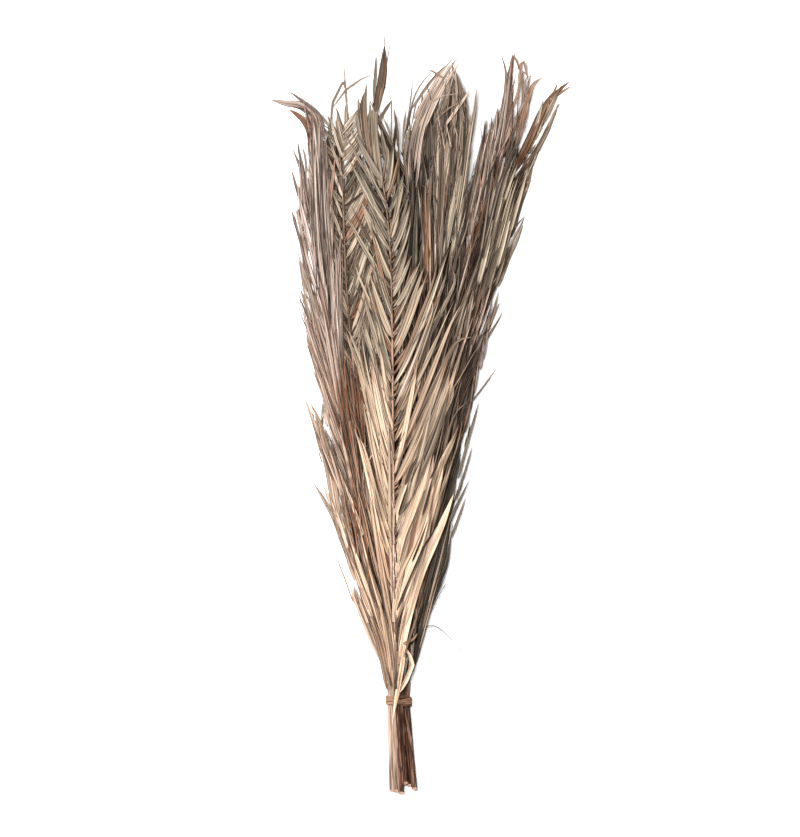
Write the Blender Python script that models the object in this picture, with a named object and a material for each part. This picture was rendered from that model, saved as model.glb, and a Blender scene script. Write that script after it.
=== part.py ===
"""A tied bunch of seven dried date palm leaves, lying on a surface, in metres with +Z up.

The origin is the flat spot under the tie that the bunch rests on. The cut stems point to -Y and the
tips to +Y. Each leaf keeps to a layer of its own in the pile, so no two leaves cross.
"""

import math
import random

import bmesh
import bpy
from mathutils import Vector

# Stem bundle at the tie: three stems below, three above them and one on top, packed like pipes
STEM_RADIUS = 0.0047
TOUCH_GAP = 0.0003
TIE_THICKNESS = 0.0022
TIE_STRANDS = 3
STRAND_WIDTH = 0.0056
STRAND_ROUNDING = 0.18
STRAND_VALLEY = 0.55
TIE_CORNERS = ((-1, 0), (0, 2), (1.5, 1), (1, 0))
TIE_ARC_STEPS = 4
STEM_PITCH = 2 * STEM_RADIUS + TOUCH_GAP
ROW_RISE = STEM_PITCH * math.sqrt(3) / 2
LOW_ROW = TIE_THICKNESS + TOUCH_GAP + STEM_RADIUS
STEM_FLARE = 1.32
STRAIGHT_IN_TIE = 0.010
STEM_SWAY = 0.006

# Pile above the tie: a leaf lies on those under it, and sinks towards the surface beside them
BOTTOM_LAYER = 0.0041
PITCH_AT_TIE = 0.0092
PITCH_IN_PILE = 0.0165
PITCH_GROWS = (0.05, 0.60)
PILE_RISE_LENGTH = 0.26
DRAPE = 0.080
FOOT_START = 0.008
FOOT_SLOPE = 0.30

# Rachis, the rib that carries the leaflets
TIP_RADIUS = 0.0013
RIB_TAPER = 0.8
RIB_USED = 0.985
RACHIS_RESOLUTION = 1
RACHIS_POINTS = 15

# Leaflets: a blade with a shallow keel, set in two rows whose blades pass each other at four heights
BLADE_KEEL = 0.10
BLADE_CORNERS = ((-0.5, BLADE_KEEL / 2), (0.5, BLADE_KEEL / 2), (0.0, -BLADE_KEEL / 2))
LEAFLET_STEPS = 24
BLADE_STATIONS = (0.0, 0.09, 0.38, 0.71, 1.0)
BLADE_WIDTHS = (0.45, 0.85, 1.0, 0.82, 0.0)
PAIR_START = 0.25
PAIR_STAGGER = 0.5
LENGTH_SPREAD = (0.80, 1.06)
WIDTH_SPREAD = (0.85, 1.12)
ROOT_TURN = math.radians(24)
ROOT_LENGTH = 0.030
CLOSING = 0.45
LEVELS = (-1.5, 0.5, -0.5, 1.5)
LEVEL_STEP = 0.0020
TOP_LEVEL_STEP = 0.0024
LEVEL_ROOM = 0.42
LEVEL_SPARE = 0.0019
LEVEL_REACHED = 0.12
SLOPE_REACH = 0.006
TWIST_STEP = math.radians(12)
SMOOTH_BELOW = math.radians(50)
WELD = 0.00004


def smooth_value(values, s):
    """Value at share s along (base, middle, tip) values, on a parabola through them."""
    base, middle, tip = values
    bulge = 4 * (middle - (base + tip) / 2)
    return base + (tip - base) * s + bulge * s * (1 - s)


def eased(t):
    """Smooth step from 0 to 1."""
    t = min(max(t, 0.0), 1.0)
    return t * t * (3 - 2 * t)


def steadied(turns):
    """The turns along a blade, each at most TWIST_STEP from the one before it."""
    kept = turns[:1]
    for turn in turns[1:]:
        kept.append(kept[-1] + min(max(turn - kept[-1], -TWIST_STEP), TWIST_STEP))
    return kept


def layer_pitch(y):
    """Room between one leaf and the next above it."""
    start, end = PITCH_GROWS
    return PITCH_AT_TIE + (PITCH_IN_PILE - PITCH_AT_TIE) * eased((y - start) / (end - start))


def catmull_rom(a, b, c, d, t):
    """Point between b and c of a smooth line through a, b, c and d."""
    return 0.5 * (
        2 * b
        + (c - a) * t
        + (2 * a - 5 * b + 4 * c - d) * t * t
        + (3 * b - a - 3 * c + d) * t * t * t
    )


class Route:
    """Smooth plan line through a few points, read by its length share."""

    def __init__(self, points, samples=24):
        ends = [2 * points[0] - points[1], *points, 2 * points[-1] - points[-2]]
        self.line = [points[0]]
        for a, b, c, d in zip(ends, ends[1:], ends[2:], ends[3:]):
            self.line += [catmull_rom(a, b, c, d, (i + 1) / samples) for i in range(samples)]
        self.lengths = [0.0]
        for a, b in zip(self.line, self.line[1:]):
            self.lengths.append(self.lengths[-1] + (b - a).length)
        self.length = self.lengths[-1]

    def x_at(self, y):
        """Where the line stands at that place along the bunch."""
        i = 0
        while i < len(self.line) - 2 and self.line[i + 1].y < y:
            i += 1
        a, b = self.line[i], self.line[i + 1]
        return a.x + (b.x - a.x) * min(max((y - a.y) / max(b.y - a.y, 1e-9), 0.0), 1.0)

    def at(self, distance):
        """(point, direction) at that distance from the start."""
        distance = min(max(distance, 0.0), self.length)
        i = 0
        while i < len(self.line) - 2 and self.lengths[i + 1] < distance:
            i += 1
        a, b = self.line[i], self.line[i + 1]
        share = (distance - self.lengths[i]) / max(self.lengths[i + 1] - self.lengths[i], 1e-9)
        return a.lerp(b, share), (b - a).normalized()


class Frond:
    """One leaf: where its stem sits in the tie, its plan route, how wide it lies and its leaflets' habit."""

    def __init__(self, name, seat, foot, stem, ribs, first, pairs, left, right, reach, width, tips, seed):
        self.name = name
        self.seat = seat
        self.foot = foot
        self.stem = stem
        self.first = first
        self.pairs = pairs
        self.habit = {-1: left, 1: right}
        self.reach = reach
        self.width = width
        self.tips = tips
        self.seed = seed
        self.route = Route([Vector((self.seat_x(), STRAIGHT_IN_TIE))] + [Vector(p) for p in ribs])

    def seat_x(self):
        return self.seat[0] * STEM_PITCH

    def seat_z(self):
        return LOW_ROW + self.seat[1] * ROW_RISE

    def presence(self, x, y):
        """1 where this leaf lies, fading to 0 beside it."""
        half = min(self.foot, FOOT_START + FOOT_SLOPE * max(y, 0.0))
        return 1 - eased((abs(x - self.route.x_at(y)) - half) / DRAPE)

    def height(self, x, y):
        """Height of this leaf over a point of the plan, on top of the leaves under it."""
        above = max(y - STRAIGHT_IN_TIE, 0.0)
        rise = 1 - (1 - min(above / PILE_RISE_LENGTH, 1.0)) ** 2
        under = FRONDS[: FRONDS.index(self)]
        piled = BOTTOM_LAYER + layer_pitch(y) * sum(other.presence(x, y) for other in under)
        return self.seat_z() + (piled - self.seat_z()) * rise

    def lean(self, place, direction):
        """Turn that lays a blade flat on the leaf's layer where that slopes across its way."""
        right = Vector((direction.y, -direction.x)) * SLOPE_REACH
        ahead, back = place + right, place - right
        climb = self.height(ahead.x, ahead.y) - self.height(back.x, back.y)
        return -math.atan2(climb, 2 * SLOPE_REACH)

    def rib_radius(self, distance):
        share = min(max(distance / self.route.length, 0.0), 1.0)
        return STEM_RADIUS + (TIP_RADIUS - STEM_RADIUS) * share ** RIB_TAPER

    def rib_line(self):
        """(points, radii) of the stem and rib from the cut end to the tip."""
        end_x = self.seat[0] * STEM_PITCH * STEM_FLARE + STEM_SWAY
        end_z = self.seat_z() + ROW_RISE * self.seat[1] * (STEM_FLARE - 1)
        end = Vector((end_x, -self.stem, end_z))
        seat = Vector((self.seat_x(), -STRAIGHT_IN_TIE, self.seat_z()))
        line = [end, end.lerp(seat, 0.5), seat]
        radii = [STEM_RADIUS] * len(line)
        for i in range(RACHIS_POINTS):
            distance = self.route.length * i / (RACHIS_POINTS - 1)
            plan, _ = self.route.at(distance)
            line.append(Vector((plan.x, plan.y, self.height(plan.x, plan.y))))
            radii.append(self.rib_radius(distance))
        return line, radii

    def level_rise(self, level, y):
        """Height of a leaflet's level over the layer. The top leaf has free room above it."""
        if self is FRONDS[-1]:
            return (level + 1) * TOP_LEVEL_STEP
        room = LEVEL_ROOM * layer_pitch(y) - LEVEL_SPARE
        return level * min(LEVEL_STEP, room / max(LEVELS))

    def leaflet_line(self, side, distance, angle, length, level):
        """(points, turns) of one leaflet, swept forward and brought to its level off the rib."""
        plan, ahead = self.route.at(distance)
        place = plan.copy()
        line, turns = [], []
        for i in range(LEAFLET_STEPS + 1):
            t = i / LEAFLET_STEPS
            rise = self.level_rise(level, place.y) * min(t / LEVEL_REACHED, 1.0)
            line.append(Vector((place.x, place.y, self.height(place.x, place.y) + rise)))
            opening = angle * (1 - CLOSING * t) + ROOT_TURN * max(0.0, 1 - t * length / ROOT_LENGTH)
            turn = -side * opening
            direction = Vector((
                ahead.x * math.cos(turn) - ahead.y * math.sin(turn),
                ahead.x * math.sin(turn) + ahead.y * math.cos(turn),
            ))
            turns.append(self.lean(place, direction))
            place = place + direction * length / LEAFLET_STEPS
        kept = [round(t * LEAFLET_STEPS) for t in BLADE_STATIONS]
        return [line[i] for i in kept], steadied([turns[i] for i in kept])

    def tip_line(self, start_y, points):
        """(points, turns) of a tip or stray blade, from the rib through its own plan points."""
        bent = Route([Vector((self.route.x_at(start_y), start_y))] + [Vector(p) for p in points])
        line, turns = [], []
        for t in BLADE_STATIONS:
            place, direction = bent.at(bent.length * t)
            line.append(Vector((place.x, place.y, self.height(place.x, place.y))))
            turns.append(self.lean(place, direction))
        return line, steadied(turns)

    def leaflets(self):
        """(points, turns, width) of every leaflet, the two rows first and then the tip and stray blades."""
        draw = random.Random(self.seed)
        found = []
        span = self.route.length * RIB_USED - self.first
        for i in range(self.pairs):
            for side in (-1, 1):
                share = (i + PAIR_START + PAIR_STAGGER * (side > 0)) / self.pairs
                angle = math.radians(smooth_value(self.habit[side], share))
                length = smooth_value(self.reach, share) * draw.uniform(*LENGTH_SPREAD)
                width = smooth_value(self.width, share) * draw.uniform(*WIDTH_SPREAD)
                level = LEVELS[(i + (side > 0)) % len(LEVELS)]
                start = self.first + span * share
                found.append((*self.leaflet_line(side, start, angle, length, level), width))
        for width, start_y, *points in self.tips:
            found.append((*self.tip_line(start_y, points), width))
        return found


FRONDS = [
    Frond("leaf_back", (0, 0), 0.058, 0.128,
          [(0.007, 0.146), (0.016, 0.321), (0.023, 0.466), (0.028, 0.612), (0.026, 0.729), (0.020, 0.800)],
          0.060, 22, (16, 17, 17), (16, 17, 17), (0.250, 0.215, 0.125), (0.013, 0.013, 0.011),
          [(0.011, 0.780, (0.012, 0.830), (0.002, 0.862)),
           (0.010, 0.770, (0.026, 0.830), (0.034, 0.885))], 11),
    Frond("leaf_left_under", (-1, 0), 0.056, 0.134,
          [(-0.020, 0.146), (-0.044, 0.321), (-0.061, 0.466), (-0.072, 0.583), (-0.0755, 0.638),
           (-0.078, 0.708), (-0.083, 0.791), (-0.089, 0.842)],
          0.060, 23, (13, 17, 27), (13, 17, 25), (0.270, 0.200, 0.060), (0.012, 0.013, 0.010),
          [(0.007, 0.790, (-0.078, 0.860), (-0.077, 0.930)),
           (0.008, 0.800, (-0.092, 0.850), (-0.093, 0.868)),
           (0.012, 0.210, (-0.076, 0.330), (-0.134, 0.437)),
           (0.011, 0.120, (-0.062, 0.230), (-0.1195, 0.3205))], 12),
    Frond("leaf_right_outer", (1, 0), 0.044, 0.126,
          [(0.030, 0.146), (0.054, 0.262), (0.070, 0.350), (0.084, 0.437), (0.113, 0.568), (0.149, 0.6775),
           (0.179, 0.765), (0.204, 0.823), (0.218, 0.850)],
          0.050, 20, (9, 9, 9), (9, 10, 8), (0.250, 0.190, 0.085), (0.012, 0.013, 0.010),
          [(0.016, 0.700, (0.180, 0.790), (0.209, 0.865), (0.250, 0.897)),
           (0.009, 0.770, (0.216, 0.835), (0.232, 0.872)),
           (0.009, 0.300, (0.098, 0.400), (0.140, 0.476)),
           (0.009, 0.560, (0.149, 0.640), (0.1836, 0.696))], 13),
    Frond("leaf_right_inner", (1.5, 1), 0.044, 0.130,
          [(0.031, 0.146), (0.057, 0.321), (0.075, 0.437), (0.099, 0.568), (0.123, 0.6775), (0.140, 0.765),
           (0.1545, 0.8305), (0.163, 0.875)],
          0.060, 20, (9, 9, 7), (9, 9, 7), (0.250, 0.200, 0.090), (0.012, 0.013, 0.010),
          [(0.009, 0.800, (0.153, 0.880), (0.146, 0.942)),
           (0.010, 0.820, (0.166, 0.895), (0.163, 0.940)),
           (0.010, 0.830, (0.172, 0.885), (0.186, 0.912))], 14),
    Frond("leaf_middle", (0.5, 1), 0.044, 0.122,
          [(0.019, 0.146), (0.036, 0.321), (0.0495, 0.466), (0.058, 0.612), (0.064, 0.729), (0.070, 0.831)],
          0.060, 21, (8, 9, 9), (8, 9, 10), (0.260, 0.220, 0.110), (0.012, 0.013, 0.010),
          [(0.010, 0.800, (0.066, 0.870), (0.074, 0.925)),
           (0.010, 0.790, (0.080, 0.870), (0.073, 0.930)),
           (0.009, 0.820, (0.058, 0.885), (0.084, 0.936))], 15),
    Frond("leaf_left_over", (-0.5, 1), 0.046, 0.133,
          [(-0.030, 0.146), (-0.061, 0.321), (-0.085, 0.466), (-0.103, 0.612), (-0.114, 0.729),
           (-0.123, 0.801), (-0.130, 0.830)],
          0.048, 22, (12, 11, 9), (8, 7, 6), (0.250, 0.210, 0.090), (0.012, 0.013, 0.010),
          [(0.015, 0.760, (-0.127, 0.836), (-0.143, 0.862), (-0.180, 0.874)),
           (0.009, 0.780, (-0.121, 0.845), (-0.135, 0.868), (-0.157, 0.887)),
           (0.010, 0.760, (-0.111, 0.810), (-0.108, 0.852))], 16),
    Frond("leaf_front", (0, 2), 0.060, 0.1355,
          [(-0.004, 0.146), (-0.005, 0.291), (-0.006, 0.437), (-0.007, 0.535), (-0.010, 0.654),
           (-0.016, 0.721), (-0.023, 0.765)],
          0.030, 28, (12, 14, 19), (14, 15, 17), (0.290, 0.225, 0.130), (0.014, 0.0135, 0.011),
          [(0.012, 0.745, (-0.028, 0.850), (-0.0305, 0.935)),
           (0.015, 0.750, (-0.020, 0.860), (-0.0175, 0.9645)),
           (0.010, 0.740, (-0.038, 0.830), (-0.044, 0.890)),
           (0.010, 0.735, (-0.052, 0.840), (-0.0765, 0.9235))], 17),
]
PALE = (0.62, 0.50, 0.37)
GREY_GREEN = (0.42, 0.38, 0.31)
TWINE_BROWN = (0.36, 0.20, 0.11)


def clear_scene():
    for old in list(bpy.data.objects):
        bpy.data.objects.remove(old)


def material(name, colour, roughness):
    made = bpy.data.materials.new(name)
    made.use_nodes = True
    shader = made.node_tree.nodes["Principled BSDF"]
    shader.inputs["Base Color"].default_value = (*colour, 1.0)
    shader.inputs["Roughness"].default_value = roughness
    shader.inputs["Metallic"].default_value = 0.0
    return made


def collection(name):
    made = bpy.data.collections.new(name)
    bpy.context.scene.collection.children.link(made)
    return made


def closed_outline(name, corners, helpers):
    """Closed flat outline that a curve object takes as its section."""
    curve = bpy.data.curves.new(name, "CURVE")
    curve.dimensions = "2D"
    spline = curve.splines.new("POLY")
    spline.points.add(len(corners) - 1)
    for point, (x, y) in zip(spline.points, corners):
        point.co = (x, y, 0.0, 1.0)
    spline.use_cyclic_u = True
    made = bpy.data.objects.new(name, curve)
    made.hide_render = True
    helpers.objects.link(made)
    return made


def strip(name, line, radii, turns, profile, target):
    """Curve object along a line: round where profile is None, else the profile scaled by the radii."""
    curve = bpy.data.curves.new(name, "CURVE")
    curve.dimensions = "3D"
    curve.twist_mode = "Z_UP"
    curve.use_fill_caps = True
    if profile is None:
        curve.bevel_depth = 1.0
        curve.bevel_resolution = RACHIS_RESOLUTION
    else:
        curve.bevel_mode = "OBJECT"
        curve.bevel_object = profile
    spline = curve.splines.new("POLY")
    spline.points.add(len(line) - 1)
    for point, place, radius, turn in zip(spline.points, line, radii, turns):
        point.co = (*place, 1.0)
        point.radius = radius
        point.tilt = turn
    made = bpy.data.objects.new(name, curve)
    target.objects.link(made)
    return made


def split_alike(shape):
    """Splits a blade's quads along one diagonal above and below, so that no face crosses where it twists."""
    corners = len(BLADE_CORNERS)
    for face in [face for face in shape.faces if len(face.verts) == 4]:
        ends = sorted(face.verts, key=lambda v: (v.index // corners, BLADE_CORNERS[v.index % corners][0]))
        bmesh.utils.face_split(face, ends[0], ends[-1])


def as_mesh(strip_object, is_blade, target):
    """The strip as a mesh object in place of the curve, with its caps and its pointed tip welded."""
    graph = bpy.context.evaluated_depsgraph_get()
    mesh = bpy.data.meshes.new_from_object(strip_object.evaluated_get(graph))
    name = strip_object.name
    bpy.data.objects.remove(strip_object)
    shape = bmesh.new()
    shape.from_mesh(mesh)
    if is_blade:
        split_alike(shape)
    bmesh.ops.remove_doubles(shape, verts=shape.verts, dist=WELD)
    shape.to_mesh(mesh)
    shape.free()
    made = bpy.data.objects.new(name, mesh)
    target.objects.link(made)
    return made


def apply_modifiers(made):
    graph = bpy.context.evaluated_depsgraph_get()
    mesh = bpy.data.meshes.new_from_object(made.evaluated_get(graph))
    made.modifiers.clear()
    made.data = mesh


def keep_largest_piece(mesh):
    """Leaves the largest connected piece, which fills sealed hollows and drops loose scraps."""
    shape = bmesh.new()
    shape.from_mesh(mesh)
    waiting = set(shape.faces)
    largest = set()
    while waiting:
        found = {waiting.pop()}
        unsearched = list(found)
        while unsearched:
            pairs = [edge.link_faces for edge in unsearched.pop().edges if len(edge.link_faces) == 2]
            for beside in {face for pair in pairs for face in pair} & waiting:
                waiting.discard(beside)
                found.add(beside)
                unsearched.append(beside)
        largest = max(largest, found, key=len)
    others = [face for face in shape.faces if face not in largest]
    bmesh.ops.delete(shape, geom=others, context="FACES")
    shape.to_mesh(mesh)
    shape.free()


def build_frond(frond, finish, profile, target):
    """Rib with its leaflets, joined into one solid."""
    loose = collection(frond.name + "_leaflets")
    for number, (line, turns, width) in enumerate(frond.leaflets()):
        radii = [share * width for share in BLADE_WIDTHS]
        blade = strip(f"{frond.name}_blade_{number}", line, radii, turns, profile, loose)
        as_mesh(blade, True, loose)
    line, radii = frond.rib_line()
    rib = strip(frond.name, line, radii, [0.0] * len(line), None, target)
    rib = as_mesh(rib, False, target)
    union = rib.modifiers.new("leaflets", "BOOLEAN")
    union.operand_type = "COLLECTION"
    union.collection = loose
    union.operation = "UNION"
    union.solver = "MANIFOLD"
    apply_modifiers(rib)
    keep_largest_piece(rib.data)
    for blade in list(loose.objects):
        bpy.data.objects.remove(blade)
    bpy.data.collections.remove(loose)
    rib.data.materials.clear()
    rib.data.materials.append(finish)
    rib.data.set_sharp_from_angle(angle=SMOOTH_BELOW)
    return rib


def tie_path(corner_seats, clearance, arc_steps):
    """Taut line round the corner stems, clockwise from the lower left, as (x, z) points."""
    places = [Vector((u * STEM_PITCH, LOW_ROW + row * ROW_RISE)) for u, row in corner_seats]
    path = []
    for i, centre in enumerate(places):
        before = centre - places[i - 1]
        after = places[(i + 1) % len(places)] - centre
        start = math.atan2(before.x, -before.y)
        turn = before.angle_signed(after)
        for step in range(arc_steps + 1):
            angle = start - turn * step / arc_steps
            path.append(centre + clearance * Vector((math.cos(angle), math.sin(angle))))
    return path


def tie_section(helpers):
    """Section of the wound strands: side by side along the stems, each flat on its outside."""
    outline = [(0.0, -STRAND_WIDTH * TIE_STRANDS / 2)]
    for i in range(TIE_STRANDS):
        low = STRAND_WIDTH * (i - TIE_STRANDS / 2)
        outline.append((-TIE_THICKNESS, low + STRAND_WIDTH * STRAND_ROUNDING))
        outline.append((-TIE_THICKNESS, low + STRAND_WIDTH * (1 - STRAND_ROUNDING)))
        if i < TIE_STRANDS - 1:
            outline.append((-TIE_THICKNESS * STRAND_VALLEY, low + STRAND_WIDTH))
    outline.append((0.0, STRAND_WIDTH * TIE_STRANDS / 2))
    return closed_outline("tie_section", outline, helpers)


def build_tie(finish, helpers, target):
    """Strands of fibre wound side by side round the stems, fused into one band with a flat underside."""
    ring = bpy.data.curves.new("tie", "CURVE")
    ring.dimensions = "3D"
    ring.twist_mode = "Z_UP"
    ring.bevel_mode = "OBJECT"
    ring.bevel_object = tie_section(helpers)
    path = tie_path(TIE_CORNERS, STEM_RADIUS + TOUCH_GAP, TIE_ARC_STEPS)
    loop = ring.splines.new("POLY")
    loop.points.add(len(path) - 1)
    for point, place in zip(loop.points, path):
        point.co = (*place, 0.0, 1.0)
    loop.use_cyclic_u = True
    made = bpy.data.objects.new("tie", ring)
    made.rotation_euler.x = math.radians(90)
    target.objects.link(made)
    ring.materials.append(finish)


def main():
    clear_scene()
    bunch = collection("dried_palm_leaf_bunch")
    helpers = collection("helpers")
    profile = closed_outline("blade_section", BLADE_CORNERS, helpers)
    leaf_finish = material("dried_leaf", GREY_GREEN, 0.75)
    front_finish = material("pale_dried_leaf", PALE, 0.72)
    twine_finish = material("twine", TWINE_BROWN, 0.85)
    for frond in FRONDS:
        finish = front_finish if frond.name == "leaf_front" else leaf_finish
        build_frond(frond, finish, profile, bunch)
    build_tie(twine_finish, helpers, bunch)


main()
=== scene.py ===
"""Looks of a tied bunch of seven dried date palm leaves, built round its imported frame.

Each leaf is one piece: its rib and cut stem, its leaflets and the stray blades that stick out of it.
The leaves lie in the same layers and along the same routes as in the frame. Everything is in metres,
with +Y from the cut stems to the tips, +Z up, and the origin on the surface under the tie.
"""

import math

import bpy
import numpy as np
from bpy.props import FloatProperty, FloatVectorProperty, IntProperty, PointerProperty
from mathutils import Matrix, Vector


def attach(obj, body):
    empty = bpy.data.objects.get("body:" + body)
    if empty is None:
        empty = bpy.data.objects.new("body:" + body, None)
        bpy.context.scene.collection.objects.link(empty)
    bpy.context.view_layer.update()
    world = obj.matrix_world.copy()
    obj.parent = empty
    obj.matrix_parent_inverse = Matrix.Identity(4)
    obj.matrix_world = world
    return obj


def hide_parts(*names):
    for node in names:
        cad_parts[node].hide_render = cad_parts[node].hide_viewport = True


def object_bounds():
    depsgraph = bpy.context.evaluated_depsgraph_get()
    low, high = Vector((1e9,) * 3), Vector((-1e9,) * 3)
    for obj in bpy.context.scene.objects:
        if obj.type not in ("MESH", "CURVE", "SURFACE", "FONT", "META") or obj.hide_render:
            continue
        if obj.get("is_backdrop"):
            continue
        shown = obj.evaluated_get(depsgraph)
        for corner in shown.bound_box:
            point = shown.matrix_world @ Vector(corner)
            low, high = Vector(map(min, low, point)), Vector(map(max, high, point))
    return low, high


bl_info = {
    "name": "Dried Palm Leaf Bunch",
    "version": (1, 0, 0),
    "blender": (4, 5, 0),
    "location": "3D View > Sidebar > Palm Bunch",
    "description": "Builds the leaves, the tie and the stage of a tied bunch of dried palm leaves",
    "category": "Add Mesh",
}

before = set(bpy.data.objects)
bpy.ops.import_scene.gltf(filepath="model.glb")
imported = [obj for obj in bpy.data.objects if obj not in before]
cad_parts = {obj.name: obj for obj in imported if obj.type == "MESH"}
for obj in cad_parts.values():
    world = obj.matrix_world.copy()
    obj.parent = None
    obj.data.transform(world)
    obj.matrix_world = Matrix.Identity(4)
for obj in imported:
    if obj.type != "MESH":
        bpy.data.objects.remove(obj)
CAD_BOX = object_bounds()

# Picture at rest: its height, the size of a pixel at the surface, and its middle on the surface
PICTURE_HEIGHT = 837
PIXEL_SIZE = 0.001457
VIEW_CENTRE = (0.00437, 0.41015)

# Stem bundle, tie and pile, as in the frame
STEM_RADIUS = 0.0047
TOUCH_GAP = 0.0003
TIE_THICKNESS = 0.0022
STEM_PITCH = 2 * STEM_RADIUS + TOUCH_GAP
ROW_RISE = STEM_PITCH * math.sqrt(3) / 2
LOW_ROW = TIE_THICKNESS + TOUCH_GAP + STEM_RADIUS
STEM_FLARE = 1.32
STRAIGHT_IN_TIE = 0.010
STEM_SWAY = 0.006
CUT_SLANT = 0.55
TIE_CORNERS = ((-1, 0), (0, 2), (1.5, 1), (1, 0))
BOTTOM_LAYER = 0.0041
PITCH_AT_TIE = 0.0092
PITCH_IN_PILE = 0.0165
PITCH_GROWS = (0.05, 0.60)
PILE_RISE_LENGTH = 0.26
DRAPE = 0.080
FOOT_START = 0.008
FOOT_SLOPE = 0.30
SLOPE_REACH = 0.006

# Lines: smallest length that counts, and how far apart a direction is read
TINY = 1e-12
DIRECTION_STEP = 1e-4

# Blades: stations along each, the first of which don't count when it is held in or cut short, corners of
# a ring as shares of half the width and half the thickness, how many steps the closing points stand off,
# half width from which a blade is fully thick, least share of that, and its room in the pile
STATIONS = 20
FREE_STATIONS = 3
ALONG = np.linspace(0.0, 1.0, STATIONS)
RING_ACROSS = np.array((-1.0, -0.5, 0.0, 0.5, 1.0, 0.5, 0.0, -0.5))
RING_FACE = np.array((0.0, 1.0, 1.0, 1.0, 0.0, -1.0, -1.0, -1.0))
ROOT_POINT = 0.05
TIP_POINT = 0.4
FULL_THICKNESS_HALF = 0.003
THINNEST = 0.35
SHARP_ANGLE = math.radians(32)
LEAST_CLEARANCE = 0.0010
HEADROOM = 0.0015
HIGHEST = CAD_BOX[1][2] + HEADROOM

# Seeds of the draws, each added to the leaf's own, and that of the tie
LOOSE_SEED = 100
RIB_SEED = 200
GRAIN_SEED = 300
TIE_SEED = 41

# Members of the rows: slivers and bracts for each leaflet, and how the roots are spread on the rib
SLIVERS = 0.75
BRACTS = 0.5
BRACTS_ON_RIGHT = 0.8
SPACING = 0.85
LAST_ROOT = 0.985

# Angles to the rib as shares of the row's own, and the roots' turn in degrees and shift at left, right
ROW_ANGLES = (0.85, 1.3)
CROSSING_ANGLES = (-0.7, 0.9)
BRACT_ANGLE = 2.2
SLIVER_SPREAD = 1.5
CLOSING = 0.22
ROOT_LENGTH = 0.040
ROOT_TURNS = (4.0, 6.0)
ROOT_SHIFTS = (-0.0008, 0.0022)

# Lengths and widths, as shares of the row's own or in metres, with pairs for left and right
LENGTHS = (0.62, 1.06)
WIDTHS = (0.62, 1.18)
BRACT_LENGTHS = (0.006, 0.013)
BRACT_WIDTH = 0.0030
SLIVER_WIDTHS = (0.0016, 0.0042)
DRAWN_WIDTH = 0.75
HIGH_FROM = (0.36, 0.54)
HIGH_FADE = 0.18
LOW_PACE = 1.6

# Bends in the plan: slow bow, waves, hooked tips, and how leaflets are pulled to a place or held in,
# with places as (start, length) of a smooth rise
BOW = 0.035
WAVE = 0.010
WAVE_PACES = (5, 14)
HOOK = 0.12
STRONG_HOOKS = 0.12
STRONG_HOOK = 0.7
HOOK_PLACE = (0.80, 0.20)
APEX_ALONG = (-0.16, 0.12)
APEX_BESIDE = (0.025, 0.025)
APEX_HOLDS = (0.7, 1.0)
DRAWN_BEND = 1.6
HELD_BEND = 1.4
LEAST_BEND = 0.02
SLACKS = (-0.0035, 0.0060)
FULL_SLACK_FROM = 0.30
LEAST_SLACK = 0.15
INSET_IN = (0.0, 0.12)
INSET_OUT = (0.36, 0.14)

# Height over the leaf's layer, with pairs for a covered leaf and the top one
ROW_ROOM = 0.34
RANKS = 0.45
TIP_RISE = 1.1
ROW_LEVELS = (0.2, 0.7)
SLIVER_LIFTS = (0.0010, -0.0030)
CROSSING_LIFT = 0.0022
ARCH = 0.0020
ROOT_RAMP = 0.10
OFF_ROOT = np.minimum(ALONG / ROOT_RAMP, 1.0)

# Section: share of the full width along a leaflet, and how it is folded and turned
LEAFLET_PROFILE = (
    (0, 0.02, 0.12, 0.32, 0.58, 0.84, 0.96, 1.0), (0.40, 0.55, 0.92, 1.0, 0.88, 0.50, 0.20, 0.07))
LEAST_HALF = 0.0002
CLOSED = 0.28
CLOSED_AT_TOP = 0.08
CLOSED_SLIVERS = 0.8
CLOSED_FOLDS = (0.7, 1.2)
CREASE_SPREAD = 0.14
TURNED_OVER = 0.28
ROOT_FOLD = 0.5
TIP_UNFOLD = 0.3
BROAD_FLATNESS = 0.6
BROAD_SMOOTHNESS = 1.6
STEEPEST = 1.35
ROLL = 0.08
TIP_ROLL = 0.30

# Colours of the rows: how far up they change, shares of the four pigments, and lightness
COLOUR_RUN = 0.85
WARM_PACE = 1.25
WARM_LAG = 0.12
WARM_SPREAD = 0.14
BLUSH_SPREAD = 0.12
RUSTY_SLIVERS = 0.22
RUST_SHARES = (0.35, 0.9)
DRY_SHARES = (0.0, 0.75)
DRY_FROM = (0.75, 0.95)
DRY_FADE = 0.1
# Painted shade: a share of the slivers are made dark, as lines of shade between the leaflets
DARK_SLIVERS = 0.45
DARK_SHARES = (0.6, 1.0)
LIGHT_SHARES = (0.0, 0.20)
# Painted shade where each leaflet meets the rib
DARK_ROOT = 0.45
DARK_ROOT_LENGTH = 0.06
BRACT_SHADE = 0.3
TINT_SPREAD = 0.14
TINTS = (0.40, 1.13)
# Painted shade on the leaflets that lie low among their neighbours, less on the broad ones
SUNK_UNDER = 0.05
SUNK_SHADE = 0.55
BROAD_LIGHTNESS = 0.8
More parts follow.
